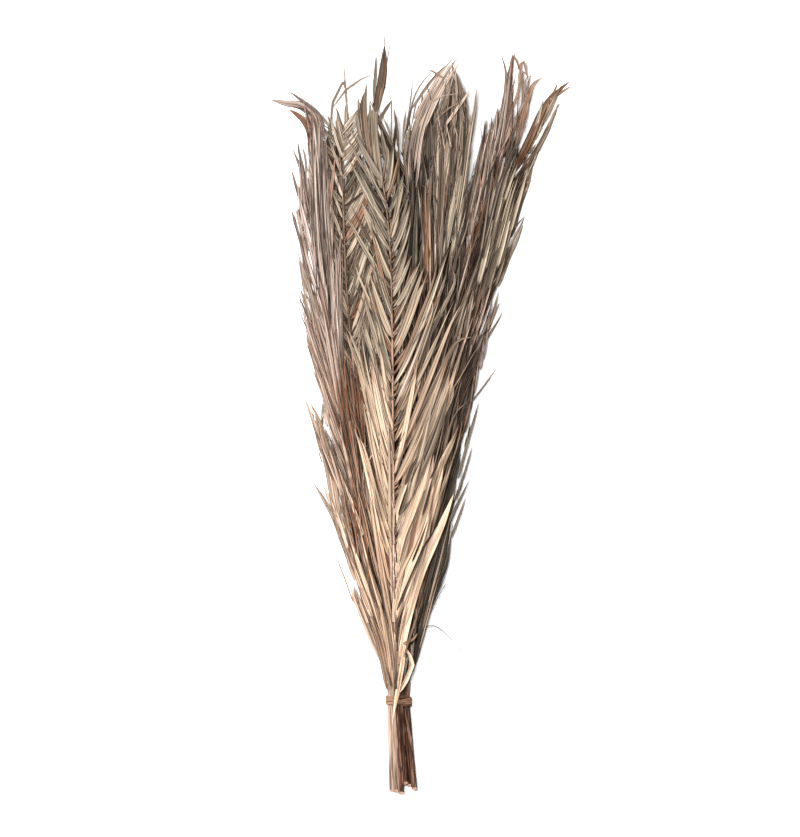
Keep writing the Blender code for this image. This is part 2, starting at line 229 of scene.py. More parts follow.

# Loose blades: profiles, folds and colours of the strays and of the blades in sheaves, with painted
# shade on the low blades of a sheaf
STRAY_PROFILE = ((0, 0.08, 0.30, 0.70, 0.90, 1.0), (0.30, 0.85, 1.0, 0.92, 0.50, 0.10))
SHEAF_PROFILE = ((0, 0.10, 0.35, 0.75, 0.95, 1.0), (0.15, 0.8, 1.0, 0.66, 0.20, 0.06))
LEAST_STRAY_HALF = 0.00045
LEAST_SHEAF_HALF = 0.00025
SHEAF_LENGTHS = (0.75, 1.25)
SHEAF_WIDTHS = (0.6, 1.25)
SHEAF_COLOURS = (0.55, 1.3)
SHEAF_BOW = 0.06
SHEAF_BELOW = 0.002
SHEAF_DEPTH = 0.005
SHEAF_RAMP = 0.12
CLOSED_LOOSE = 0.3
CLOSED_LOOSE_FOLDS = (0.6, 1.1)
LOOSE_FOLDS = (0.1, 0.5)
LOOSE_ROLL = 0.3
LOOSE_ROLL_SHARES = (0.4, 1.0)
LOOSE_TINT = 1.04
LOOSE_TINT_SPREAD = 0.14
LOOSE_TINTS = (0.6, 1.25)
STRAY_SHADE = 0.10
# Painted shade on the lower blades of a sheaf
LOW_SHEAF_SHADE = 0.5
LOW_SHEAF_FADE = 1.5
SMOOTH_FROM = 0.009
SMOOTH_FADE = 0.003
SMOOTH_BELOW = 0.3

# Rib and stem: radii along the rib, lumps as (size, lumps round it, pace along it), and the cut
STEM_STATIONS = 16
RIB_STATIONS = 64
RIB_CORNERS = 14
RIB_RADII = ((0.0, 0.03, 0.10, 0.5, 1.0), (0.0046, 0.0032, 0.0025, 0.0019, 0.0008))
RIB_TIP = 0.002
LUMPS = (0.035, 0.090)
LUMP_WAVES = ((1.0, 3, 9), (0.7, 5, -21), (0.6, 2, 60))
LUMP_PHASES = 6.28
LUMP_INSET = 1.8
CUT_RIM = 0.86
TOP_STEM_DARK = (-0.75, 0.3)
STEM_COLOUR_ENDS = (-0.01, 0.12)
RIB_COLOUR_BEGINS = (0.02, 0.05)

# Tie: the wound strand, its knobs and taper, and the loose fibres on it
TIE_START = 0.45
TIE_EDGE = 0.0076
BEND_STEPS = 14
OUTWARD_STEP = 0.001
TURN_SPACING = 1.07
WANDER = 0.0006
WANDER_PACE = 47.0
STRAND_STATIONS = 360
STRAND_CORNERS = 12
STRAND_HEIGHT = 0.96
STRAND_TAPER = 3
LEAST_STRAND = 0.25
STRAND_POINT = 0.3
STRAND_TWIST = 0.35
KNOBS = 0.10
KNOBS_ROUND = 3
KNOBS_ALONG = 700
PALE_LEFT = 0.4
PALE_LEFT_FADE = 0.008
FIBRE_STATIONS = 60
FIBRE_CORNERS = 5
FIBRE_HALF = (0.00022, 0.00016)
FIBRE_LIFT = 0.84
FIBRE_SPANS = (0.3, 0.9)
LAST_FIBRE = 0.6
FIBRE_SHIFT = 0.42
FIBRE_SWAY = 0.5
FIBRE_GRAIN = (1, 30)

# Grain of the finishes: how far apart the blades' own lie in it, and its noise
GRAIN_SPREAD = 40.0
GRAIN_SHIFT = 3.7
NOISE_ROUGHNESS = 0.55

# Stage: floor, lights and lens
FLOOR_REACH = 8.0
LIGHTS_AIM = (0.02, 0.40, 0.03)
KEY_PLACE = (-0.15, 0.60, 3.2)
KEY_SIZE = 0.5
SIDE_PLACE = (-2.0, 0.9, 2.3)
SIDE_SIZE = 0.6
SENSOR = 36.0
VIEW_REACH = 50.0

# Sides of the bunch: distance from the tie, left edge, right edge
OUTLINE = np.array((
    (0.0000, -0.0165, 0.0155), (0.0291, -0.0205, 0.0190), (0.0583, -0.0285, 0.0275),
    (0.0874, -0.0408, 0.0335), (0.1166, -0.0522, 0.0408), (0.1457, -0.0590, 0.0560),
    (0.1748, -0.0641, 0.0680), (0.2040, -0.0743, 0.0768), (0.2331, -0.0860, 0.0787),
    (0.2623, -0.0976, 0.0816), (0.2914, -0.1049, 0.0860), (0.3205, -0.1078, 0.0918),
    (0.3497, -0.1122, 0.0962), (0.3788, -0.1195, 0.1005), (0.4080, -0.1238, 0.1064),
    (0.4371, -0.1195, 0.1122), (0.4662, -0.1209, 0.1151), (0.4954, -0.1253, 0.1250),
    (0.5245, -0.1311, 0.1268), (0.5537, -0.1355, 0.1384), (0.5828, -0.1399, 0.1442),
    (0.6119, -0.1413, 0.1515), (0.6411, -0.1413, 0.1603), (0.6702, -0.1428, 0.1676),
    (0.6994, -0.1472, 0.1778), (0.7285, -0.1442, 0.1880), (0.7576, -0.1428, 0.1952),
    (0.7868, -0.1384, 0.2054), (0.8159, -0.1355, 0.2171), (0.8596, -0.1486, 0.2404),
    (0.9762, -0.1559, 0.2593),
))


def linear(*rgb):
    """Scene colour of an sRGB colour given as 0 to 255."""
    return tuple(c / 255 / 12.92 if c <= 10 else ((c / 255 + 0.055) / 1.055) ** 2.4 for c in rgb)


def eased(t):
    t = np.clip(t, 0.0, 1.0)
    return t * t * (3 - 2 * t)


def onset(value, start, length):
    """0 up to start, rising smoothly to 1 over that length."""
    return eased((value - start) / length)


def share_up(y):
    """Share of the way up the bunch over which the colours change."""
    return np.clip(y / COLOUR_RUN, 0.0, 1.0)


def between(ends, share):
    """Value at share along (base, tip) values."""
    return ends[0] + (ends[1] - ends[0]) * share


def bowed(values, share):
    """Value at share along (base, middle, tip) values, on a parabola through them."""
    base, middle, tip = values
    bulge = 4 * (middle - (base + tip) / 2)
    return base + (tip - base) * share + bulge * share * (1 - share)


def unit(vectors):
    """Vectors of length one in the same directions."""
    return vectors / np.maximum(np.linalg.norm(vectors, axis=-1, keepdims=True), TINY)


def lengths_along(line):
    """Distance of each point of a line from its first, along the line."""
    return np.concatenate([[0.0], np.cumsum(np.linalg.norm(np.diff(line, axis=0), axis=1))])


def read_at(distance, lengths, values):
    """Pairs of values at those distances along a line."""
    return np.stack([np.interp(distance, lengths, values[:, i]) for i in (0, 1)], -1)


class Route:
    """Smooth plan line through a few points, or a kinked one, read by its length."""

    def __init__(self, points, kinked=False, samples=24):
        points = np.array(points, float)
        if kinked:
            self.line = points
        else:
            ends = np.vstack([2 * points[0] - points[1], points, 2 * points[-1] - points[-2]])
            t = (np.arange(samples) + 1.0)[:, None] / samples
            line = [points[:1]]
            for a, b, c, d in zip(ends, ends[1:], ends[2:], ends[3:]):
                line.append(0.5 * (
                    2 * b
                    + (c - a) * t
                    + (2 * a - 5 * b + 4 * c - d) * t ** 2
                    + (3 * b - a - 3 * c + d) * t ** 3
                ))
            self.line = np.vstack(line)
        self.lengths = lengths_along(self.line)
        self.length = self.lengths[-1]

    def x_at(self, y):
        return np.interp(y, self.line[:, 1], self.line[:, 0])

    def at(self, distance):
        """(points, directions) at those distances from the start."""
        ahead = read_at(distance + DIRECTION_STEP, self.lengths, self.line)
        back = read_at(distance - DIRECTION_STEP, self.lengths, self.line)
        return read_at(distance, self.lengths, self.line), unit(ahead - back)


class Leaf:
    """One leaf: its seat in the tie, its layer, its route, its leaflets' habit and its colours.

    Colours are (at the stem, at the tip) shares of peach over olive, pink blush, rust and dark shade.
    cover is how freely the leaflets cross, inset how far they stay in low on the right, broad how much
    wider and flatter they are low on the right, high the share of their length high on the two sides,
    spacing how they crowd to the tip, right_first where the right row starts, sunk how much of the painted
    depth shade they take, contrast how much their lightness and the painted shade of their low ones vary,
    bright how light they are (at the stem, at the tip), partly painted light that lifts leaves lying in
    shade, and apex the point that the tips close to and how strongly.
    """

    def __init__(
        self, name, seat, foot, stem, ribs, first, counts, left, right, reach, width, seed, **looks
    ):
        self.name = name
        self.seat = seat
        self.foot = foot
        self.stem = stem
        self.first = first
        self.counts = counts
        self.habit = (left, right)
        self.reach = reach
        self.width = width
        self.seed = seed
        self.looks = looks
        self.seat_x = seat[0] * STEM_PITCH
        self.seat_z = LOW_ROW + seat[1] * ROW_RISE
        self.route = Route([(self.seat_x, STRAIGHT_IN_TIE), *ribs])

    @property
    def top(self):
        """Whether this leaf lies on all the others."""
        return self is LEAVES[-1]

    def presence(self, x, y):
        """1 where this leaf lies, fading to 0 beside it."""
        half = np.minimum(self.foot, FOOT_START + FOOT_SLOPE * np.maximum(y, 0.0))
        return 1 - onset(np.abs(x - self.route.x_at(y)), half, DRAPE)

    def height(self, x, y):
        """Height of this leaf over points of the plan, on top of the leaves under it."""
        rise = 1 - (1 - np.clip((y - STRAIGHT_IN_TIE) / PILE_RISE_LENGTH, 0.0, 1.0)) ** 2
        under = LEAVES[: LEAVES.index(self)]
        pitch = pitch_at(y)
        piled = BOTTOM_LAYER + pitch * sum((other.presence(x, y) for other in under), np.zeros_like(x))
        return self.seat_z + (piled - self.seat_z) * rise


def pitch_at(y):
    """Room between one leaf and the next above it."""
    start, end = PITCH_GROWS
    return between((PITCH_AT_TIE, PITCH_IN_PILE), onset(y, start, end - start))


LEAVES = [
    Leaf("back_leaf", (0, 0), 0.058, 0.128,
         [(0.007, 0.146), (0.016, 0.321), (0.023, 0.466), (0.028, 0.612), (0.026, 0.729), (0.020, 0.800)],
         0.040, (60, 60), (15, 20, 24), (15, 20, 24), (0.250, 0.225, 0.135), (0.0115, 0.012, 0.0105), 11,
         warm=(0.5, 0.1), blush=(0.1, 0.15), rust=(0.16, 0.24), shade=(0.75, 0.30), stem_dark=0.0,
         cover=0.3, sunk=0.72, bright=(1.0, 1.3)),
    Leaf("left_under_leaf", (-1, 0), 0.056, 0.134,
         [(-0.020, 0.146), (-0.044, 0.321), (-0.061, 0.466), (-0.072, 0.583), (-0.0755, 0.638),
          (-0.078, 0.708), (-0.083, 0.791), (-0.089, 0.842)],
         0.035, (72, 72), (13, 18, 44), (13, 18, 42), (0.270, 0.180, 0.050), (0.010, 0.0105, 0.0105), 12,
         warm=(1.0, 0.1), blush=(0.25, 0.15), rust=(0.50, 0.16), shade=(0.14, 0.07), stem_dark=0.0,
         cover=0.0, spacing=1.0, sunk=0.1, contrast=0.9, bright=(1.1, 1.1)),
    Leaf("right_outer_leaf", (1, 0), 0.044, 0.126,
         [(0.030, 0.146), (0.054, 0.262), (0.070, 0.350), (0.084, 0.437), (0.113, 0.568), (0.149, 0.6775),
          (0.179, 0.765), (0.204, 0.823), (0.218, 0.850)],
         0.030, (50, 62), (9, 9, 9), (9, 9, 8), (0.250, 0.190, 0.085), (0.0090, 0.009, 0.008), 13,
         warm=(0.2, 0.30), blush=(0.1, 0.05), rust=(0.04, 0.34), shade=(1.0, 0.14), stem_dark=1.0,
         cover=0.5, contrast=1.6, sunk=0.65, bright=(1.0, 1.15)),
    Leaf("right_inner_leaf", (1.5, 1), 0.044, 0.130,
         [(0.031, 0.146), (0.057, 0.321), (0.075, 0.437), (0.099, 0.568), (0.123, 0.6775), (0.140, 0.765),
          (0.1545, 0.8305), (0.163, 0.875)],
         0.040, (60, 56), (9, 11, 12), (9, 9, 7), (0.250, 0.200, 0.110), (0.0085, 0.008, 0.007), 14,
         warm=(0.7, 0.45), blush=(0.3, 0.60), rust=(0.18, 0.34), shade=(0.42, 0.26), stem_dark=1.0,
         cover=0.5, inset=0.019, apex=(0.168, 0.930, 0.45), contrast=1.7, sunk=0.65, bright=(1.0, 1.1)),
    Leaf("middle_leaf", (0.5, 1), 0.044, 0.122,
         [(0.019, 0.146), (0.036, 0.321), (0.0495, 0.466), (0.058, 0.612), (0.064, 0.729), (0.070, 0.831)],
         0.040, (56, 60), (8, 9, 9), (8, 11, 14), (0.260, 0.220, 0.120), (0.0085, 0.008, 0.007), 15,
         warm=(0.9, 0.25), blush=(0.2, 0.35), rust=(0.16, 0.26), shade=(0.30, 0.36), stem_dark=1.0,
         cover=0.5, inset=0.024, apex=(0.080, 0.925, 0.6), contrast=1.5, sunk=0.82),
    Leaf("left_over_leaf", (-0.5, 1), 0.046, 0.133,
         [(-0.030, 0.146), (-0.061, 0.321), (-0.085, 0.466), (-0.103, 0.612), (-0.114, 0.729),
          (-0.123, 0.801), (-0.130, 0.830)],
         0.030, (64, 56), (11, 11, 8), (8, 6, 5), (0.250, 0.210, 0.090), (0.0085, 0.008, 0.0065), 16,
         warm=(0.85, 0.25), blush=(0.45, 0.75), rust=(0.42, 0.08), shade=(0.14, 0.20), stem_dark=0.0,
         cover=0.5, sunk=0.7, contrast=1.5),
    Leaf("front_leaf", (0, 2), 0.060, 0.1355,
         [(-0.004, 0.146), (-0.005, 0.291), (-0.006, 0.437), (-0.007, 0.535), (-0.010, 0.654),
          (-0.016, 0.721), (-0.023, 0.765)],
         0.012, (66, 46), (11, 16, 24), (16, 22, 17), (0.290, 0.225, 0.150), (0.0120, 0.0112, 0.0090), 17,
         warm=(1.0, 0.05), blush=(0.0, 0.05), rust=(0.02, 0.10), shade=(0.02, 0.20), stem_dark=0.0,
         cover=0.0, inset=0.012, broad=1.6, high=(0.66, 0.45), right_first=0.070, contrast=0.65, sunk=0.28,
         bright=(1.05, 0.84)),
]
CAD_NODES = dict(zip(
    (leaf.name for leaf in LEAVES),
    ("leaf_back", "leaf_left_under", "leaf_right_outer", "leaf_right_inner", "leaf_middle",
     "leaf_left_over", "leaf_front"),
))

# Blades that leave the two rows: width, rust, shade, lift, plan points, and True for a kinked one
# Strays with shade near 1 that lie high are dark slits of painted shade between the blades
STRAYS = {}
STRAYS["back_leaf"] = [
    (0.0045, 0.4, 0.5, 0.002, ((-0.0073, 0.7868), (-0.0029, 0.8232), (-0.0007, 0.848))),
]
STRAYS["left_under_leaf"] = [
    (0.0042, 0.2, 0.6, 0.003, ((-0.0685, 0.8159), (-0.0707, 0.848), (-0.0743, 0.8859), (-0.0765, 0.9267))),
    (0.0048, 0.3, 0.4, 0.004,
     ((-0.0954, 0.848), (-0.0932, 0.8698), (-0.0779, 0.9004), (-0.0743, 0.8844)), True),
    (0.0034, 0.3, 0.5, 0.004,
     ((-0.0918, 0.864), (-0.075, 0.8873), (-0.0517, 0.9026), (-0.0335, 0.9106)), True),
    (0.0094, 0.3, 0.45, 0.003, ((-0.083, 0.2331), (-0.1034, 0.3468), (-0.1208, 0.4021), (-0.1348, 0.4415))),
    (0.0075, 0.15, 0.25, 0.004, ((-0.0816, 0.2623), (-0.0962, 0.3468), (-0.1107, 0.4021), (-0.126, 0.4327))),
    (0.0075, 0.2, 0.5, 0.002, ((-0.067, 0.1952), (-0.0889, 0.2579), (-0.1042, 0.2885), (-0.1224, 0.3176))),
    (0.0075, 0.15, 0.2, 0.004, ((-0.0612, 0.1748), (-0.0772, 0.2317), (-0.0932, 0.2812), (-0.1107, 0.3205))),
    (0.0024, 0.2, 0.5, 0.003, ((-0.0641, 0.1428), (-0.0743, 0.1734), (-0.083, 0.1952), (-0.0896, 0.2142))),
    (0.008, 0.2, 0.3, 0.003, ((-0.0306, 0.0787), (-0.0452, 0.1195), (-0.0568, 0.1384), (-0.0685, 0.1559))),
    (0.0055, 0.2, 0.5, 0.003, ((-0.1093, 0.4517), (-0.1209, 0.4925), (-0.1282, 0.5172), (-0.1319, 0.5376))),
    (0.006, 0.2, 0.3, 0.003, ((-0.0787, 0.7984), (-0.0903, 0.8276), (-0.1005, 0.8494))),
    (0.0055, 0.2, 0.4, 0.003, ((-0.0787, 0.8043), (-0.0845, 0.8305), (-0.0874, 0.8538))),
    (0.0055, 0.2, 0.3, 0.003, ((-0.0787, 0.8014), (-0.0685, 0.8261), (-0.0641, 0.8465))),
    (0.005, 0.3, 0.4, 0.003, ((-0.0787, 0.813), (-0.0758, 0.8334), (-0.0699, 0.8509))),
    (0.0045, 0.2, 0.4, 0.003, ((-0.0976, 0.8159), (-0.0962, 0.8363), (-0.0947, 0.8523))),
    (0.005, 0.2, 0.4, 0.003, ((-0.0758, 0.8159), (-0.0816, 0.8392), (-0.0889, 0.8625))),
    (0.0062, 0.2, 0.4, 0.003, ((-0.0728, 0.813), (-0.0736, 0.8392), (-0.075, 0.8655))),
    (0.005, 0.2, 0.4, 0.003, ((-0.1224, 0.5464), (-0.1319, 0.5741), (-0.1406, 0.5988))),
    (0.0045, 0.2, 0.3, 0.003, ((-0.1311, 0.5945), (-0.137, 0.6178), (-0.1421, 0.6382))),
    (0.0052, 0.0, 0.1, 0.0105, ((-0.0794, 0.7897), (-0.0874, 0.813), (-0.0969, 0.848))),
    (0.0052, 0.0, 0.1, 0.0105, ((-0.0794, 0.762), (-0.0874, 0.7853), (-0.0998, 0.8203))),
    (0.0052, 0.0, 0.1, 0.0105, ((-0.0794, 0.7329), (-0.0874, 0.7562), (-0.0998, 0.7912))),
    (0.0052, 0.0, 0.1, 0.0105, ((-0.0794, 0.7023), (-0.0874, 0.7256), (-0.1013, 0.7606))),
    (0.0052, 0.0, 0.1, 0.0105, ((-0.0794, 0.6702), (-0.0874, 0.6935), (-0.1013, 0.7285))),
    (0.0052, 0.0, 0.1, 0.0105, ((-0.0794, 0.6382), (-0.0874, 0.6615), (-0.1013, 0.6964))),
    (0.0052, 0.0, 0.1, 0.0105, ((-0.0794, 0.6032), (-0.0874, 0.6265), (-0.0998, 0.6615))),
]
STRAYS["right_outer_leaf"] = [
    (0.0135, 0.85, 0.05, 0.004, ((0.1705, 0.7693), (0.1945, 0.8188), (0.212, 0.8582), (0.2258, 0.8837))),
    (0.006, 0.85, 0.1, 0.005, ((0.2156, 0.8655), (0.2317, 0.8844), (0.2506, 0.9004))),
    (0.0045, 0.8, 0.2, 0.004, ((0.2185, 0.8669), (0.2346, 0.8815), (0.2521, 0.8931))),
    (0.0035, 0.8, 0.2, 0.004, ((0.2215, 0.8742), (0.2287, 0.8859), (0.2331, 0.8975))),
    (0.0085, 0.4, 0.75, 0.004,
     ((0.169, 0.7528), (0.1879, 0.779), (0.2061, 0.8053), (0.2229, 0.8388), (0.2338, 0.8665))),
    (0.003, 0.7, 0.3, 0.005, ((0.22, 0.8349), (0.2287, 0.8553), (0.236, 0.8669))),
    (0.0022, 0.2, 0.4, 0.005, ((0.1064, 0.4327), (0.1238, 0.4546), (0.1428, 0.4808))),
    (0.0042, 0.05, 0.25, 0.005, ((0.1544, 0.6382), (0.1705, 0.6731), (0.1792, 0.6892), (0.185, 0.7037))),
    (0.007, 0.6, 0.6, 0.006, ((0.0189, 0.0656), (0.0219, 0.0801), (0.0248, 0.0918))),
    (0.0011, 0.3, 0.6, 0.002, ((0.0335, 0.0874), (0.0408, 0.1064), (0.0641, 0.1034), (0.118, 0.0452))),
    (0.0011, 0.3, 0.6, 0.002, ((0.0335, 0.0874), (0.0423, 0.1078), (0.0495, 0.1311), (0.0699, 0.169))),
    (0.0085, 0.3, 0.8, 0.003, ((0.1486, 0.7023), (0.1588, 0.7489), (0.1676, 0.7926), (0.1748, 0.8261))),
    (0.0095, 0.05, 0.15, 0.004, ((0.1661, 0.6746), (0.1763, 0.7168), (0.188, 0.7504), (0.1982, 0.7853))),
    (0.006, 0.05, 0.25, 0.004, ((0.1472, 0.6017), (0.1617, 0.6411), (0.1734, 0.6658), (0.1829, 0.6906))),
    (0.0075, 0.1, 0.3, 0.005, ((0.1034, 0.4779), (0.1209, 0.5172), (0.137, 0.5566), (0.1472, 0.593))),
    (0.0065, 0.2, 0.5, 0.004, ((0.1093, 0.4983), (0.1253, 0.5303), (0.1399, 0.5595), (0.1486, 0.577))),
    (0.0035, 0.1, 0.6, 0.004, ((0.0918, 0.3118), (0.1005, 0.3395), (0.1085, 0.3672))),
    (0.0035, 0.2, 0.4, 0.004, ((0.0787, 0.2375), (0.0889, 0.2652), (0.0991, 0.2943))),
    (0.0042, 0.1, 0.5, 0.004, ((0.0889, 0.3235), (0.102, 0.3744), (0.1115, 0.408), (0.118, 0.4313))),
    (0.003, 0.2, 0.4, 0.004, ((0.0845, 0.2914), (0.0918, 0.3089), (0.0976, 0.3322))),
]
STRAYS["right_inner_leaf"] = [
    (0.005, 0.7, 0.3, 0.004,
     ((0.1501, 0.8159), (0.1617, 0.8742), (0.1676, 0.9354), (0.1778, 0.9179), (0.1836, 0.8975))),
    (0.005, 0.6, 0.3, 0.004, ((0.1617, 0.8451), (0.1763, 0.8859), (0.1821, 0.9296), (0.1909, 0.8975))),
    (0.004, 0.6, 0.4, 0.004, ((0.1676, 0.8305), (0.185, 0.8742), (0.1952, 0.9121))),
    (0.009, 0.8, 0.3, 0.004, ((0.1719, 0.8014), (0.1938, 0.8859), (0.2098, 0.9048))),
    (0.006, 0.4, 0.3, 0.005, ((0.1311, 0.762), (0.1617, 0.8232), (0.1894, 0.8786))),
    (0.0045, 0.2, 0.3, 0.004, ((0.1501, 0.8363), (0.1566, 0.8859), (0.1574, 0.915), (0.1508, 0.9398))),
    (0.004, 0.2, 0.1, 0.004, ((0.1472, 0.8451), (0.1588, 0.8888), (0.1603, 0.9121))),
    (0.008, 0.2, 0.2, 0.004, ((0.118, 0.7023), (0.1187, 0.746), (0.1238, 0.7955), (0.1297, 0.8421))),
    (0.008, 0.3, 0.3, 0.004, ((0.1268, 0.711), (0.1253, 0.7693), (0.1311, 0.813), (0.137, 0.8378))),
    (0.004, 0.3, 0.3, 0.004, ((0.1574, 0.8596), (0.1603, 0.8961), (0.1544, 0.9296))),
    (0.0065, 0.1, 1.0, 0.011,
     ((0.1268, 0.6658), (0.137, 0.7066), (0.1486, 0.7489), (0.1632, 0.7853), (0.1748, 0.8115))),
    (0.0026, 0.3, 1.0, 0.0105, ((0.1122, 0.6964), (0.1282, 0.7489), (0.1413, 0.781), (0.1574, 0.8174))),
    (0.0022, 0.3, 1.0, 0.0105, ((0.0962, 0.6731), (0.1049, 0.7285), (0.1166, 0.7795))),
    (0.0022, 0.2, 1.0, 0.012, ((0.1501, 0.676), (0.1661, 0.7212), (0.1821, 0.7606))),
    (0.003, 0.3, 0.9, 0.0105, ((0.1224, 0.5828), (0.1326, 0.6294), (0.1457, 0.6731))),
]
STRAYS["middle_leaf"] = [
    (0.0055, 0.1, 0.0, 0.007, ((0.0714, 0.8363), (0.0889, 0.8611), (0.1042, 0.8829))),
    (0.006, 0.0, 0.1, 0.005, ((0.0962, 0.7693), (0.1056, 0.8159), (0.1122, 0.8567), (0.1151, 0.8859))),
    (0.0028, 0.2, 0.3, 0.004, ((0.0146, 0.8276), (0.024, 0.8727), (0.0364, 0.8975), (0.0539, 0.9165))),
    (0.0024, 0.2, 0.3, 0.004, ((0.0204, 0.8305), (0.0284, 0.8684), (0.0408, 0.8888), (0.0554, 0.9092))),
    (0.0028, 0.3, 0.4, 0.003, ((0.0102, 0.813), (0.0175, 0.8567), (0.0226, 0.899))),
    (0.0075, 0.1, 0.0, 0.006, ((0.0277, 0.8276), (0.0481, 0.8684), (0.067, 0.9033), (0.0874, 0.9325))),
    (0.0065, 0.0, 0.05, 0.0065, ((0.0393, 0.8305), (0.0568, 0.8698), (0.0743, 0.9019), (0.0918, 0.9267))),
    (0.006, 0.1, 0.0, 0.0055, ((0.0248, 0.8451), (0.0437, 0.8786), (0.0627, 0.9077), (0.083, 0.9354))),
    (0.005, 0.2, 0.2, 0.005, ((0.0219, 0.8596), (0.0393, 0.8859), (0.0568, 0.9077), (0.0772, 0.9267))),
    (0.0034, 0.3, 0.3, 0.007, ((0.067, 0.9033), (0.0539, 0.9121), (0.0437, 0.9165))),
    (0.007, 0.2, 0.1, 0.005, ((0.0714, 0.7868), (0.0714, 0.848), (0.0758, 0.8888), (0.0816, 0.9237))),
    (0.006, 0.1, 0.0, 0.0055, ((0.086, 0.8014), (0.0845, 0.848), (0.086, 0.8859), (0.0845, 0.9179))),
    (0.0065, 0.1, 0.3, 0.0045, ((0.0597, 0.7868), (0.0612, 0.8451), (0.0699, 0.8829), (0.0801, 0.915))),
    (0.0095, 0.35, 0.6, 0.004,
     ((0.0947, 0.7649), (0.0983, 0.8232), (0.0962, 0.864), (0.0896, 0.8946), (0.0801, 0.9223))),
    (0.008, 0.3, 0.85, 0.003, ((0.0889, 0.7795), (0.0918, 0.8305), (0.0889, 0.8713), (0.0816, 0.9033))),
    (0.0055, 0.5, 0.4, 0.005, ((0.0991, 0.7984), (0.1005, 0.8421), (0.0983, 0.8727), (0.0925, 0.8931))),
    (0.0022, 0.3, 0.2, 0.0095, ((0.0568, 0.8436), (0.0758, 0.8596), (0.0932, 0.8684))),
    (0.002, 0.2, 0.1, 0.0095, ((0.0481, 0.8684), (0.0656, 0.8771), (0.086, 0.88))),
    (0.0036, 0.2, 1.0, 0.0105, ((0.0758, 0.7212), (0.0772, 0.781), (0.0816, 0.8334))),
    (0.0034, 0.4, 1.0, 0.0105, ((0.0932, 0.7606), (0.0976, 0.813), (0.0991, 0.8596))),
    (0.0042, 0.2, 1.0, 0.0105, ((0.0204, 0.6819), (0.0233, 0.7431), (0.0204, 0.8014))),
    (0.0022, 0.5, 0.9, 0.0105, ((0.0408, 0.6775), (0.0481, 0.7285), (0.051, 0.7868))),
    (0.0024, 0.3, 1.0, 0.0105, ((0.0583, 0.5974), (0.0641, 0.6556), (0.067, 0.7139))),
]
STRAYS["left_over_leaf"] = [
    (0.0125, 0.15, 0.55, 0.004,
     ((-0.118, 0.7984), (-0.1195, 0.8349), (-0.1253, 0.8523), (-0.1413, 0.8647), (-0.1617, 0.8676),
      (-0.1821, 0.8727))),
    (0.006, 0.2, 0.5, 0.005,
     ((-0.1049, 0.8159), (-0.1122, 0.8465), (-0.1238, 0.8596), (-0.137, 0.8706), (-0.1566, 0.8851))),
    (0.0115, 1.0, 0.25, 0.0035,
     ((-0.1238, 0.7839), (-0.1253, 0.8203), (-0.1326, 0.8392), (-0.1428, 0.8494), (-0.1559, 0.8582))),
    (0.0085, 0.3, 0.45, 0.0045,
     ((-0.1122, 0.7984), (-0.1136, 0.8319), (-0.1209, 0.8494), (-0.1355, 0.8596), (-0.1544, 0.8625))),
    (0.0048, 0.25, 0.72, 0.002, ((-0.1297, 0.7431), (-0.137, 0.7751), (-0.1421, 0.797), (-0.1442, 0.813))),
    (0.0042, 0.25, 0.72, 0.002, ((-0.134, 0.7489), (-0.1421, 0.778), (-0.1515, 0.8014))),
    (0.0042, 0.25, 0.72, 0.002, ((-0.1311, 0.7664), (-0.1333, 0.7882), (-0.137, 0.8043))),
    (0.0048, 0.25, 0.72, 0.002, ((-0.134, 0.7081), (-0.1428, 0.7343), (-0.1486, 0.7547), (-0.153, 0.7708))),
    (0.0048, 0.25, 0.72, 0.002, ((-0.1384, 0.66), (-0.1442, 0.6819), (-0.1486, 0.6964), (-0.153, 0.7139))),
    (0.0018, 0.2, 1.0, 0.0105, ((-0.1093, 0.6702), (-0.1107, 0.7431), (-0.1064, 0.8014))),
    (0.0018, 0.2, 0.9, 0.0105, ((-0.1166, 0.5828), (-0.1166, 0.6556), (-0.1195, 0.7285))),
    (0.002, 0.1, 0.9, 0.0105, ((-0.0976, 0.5391), (-0.1005, 0.6119), (-0.102, 0.6819))),
]
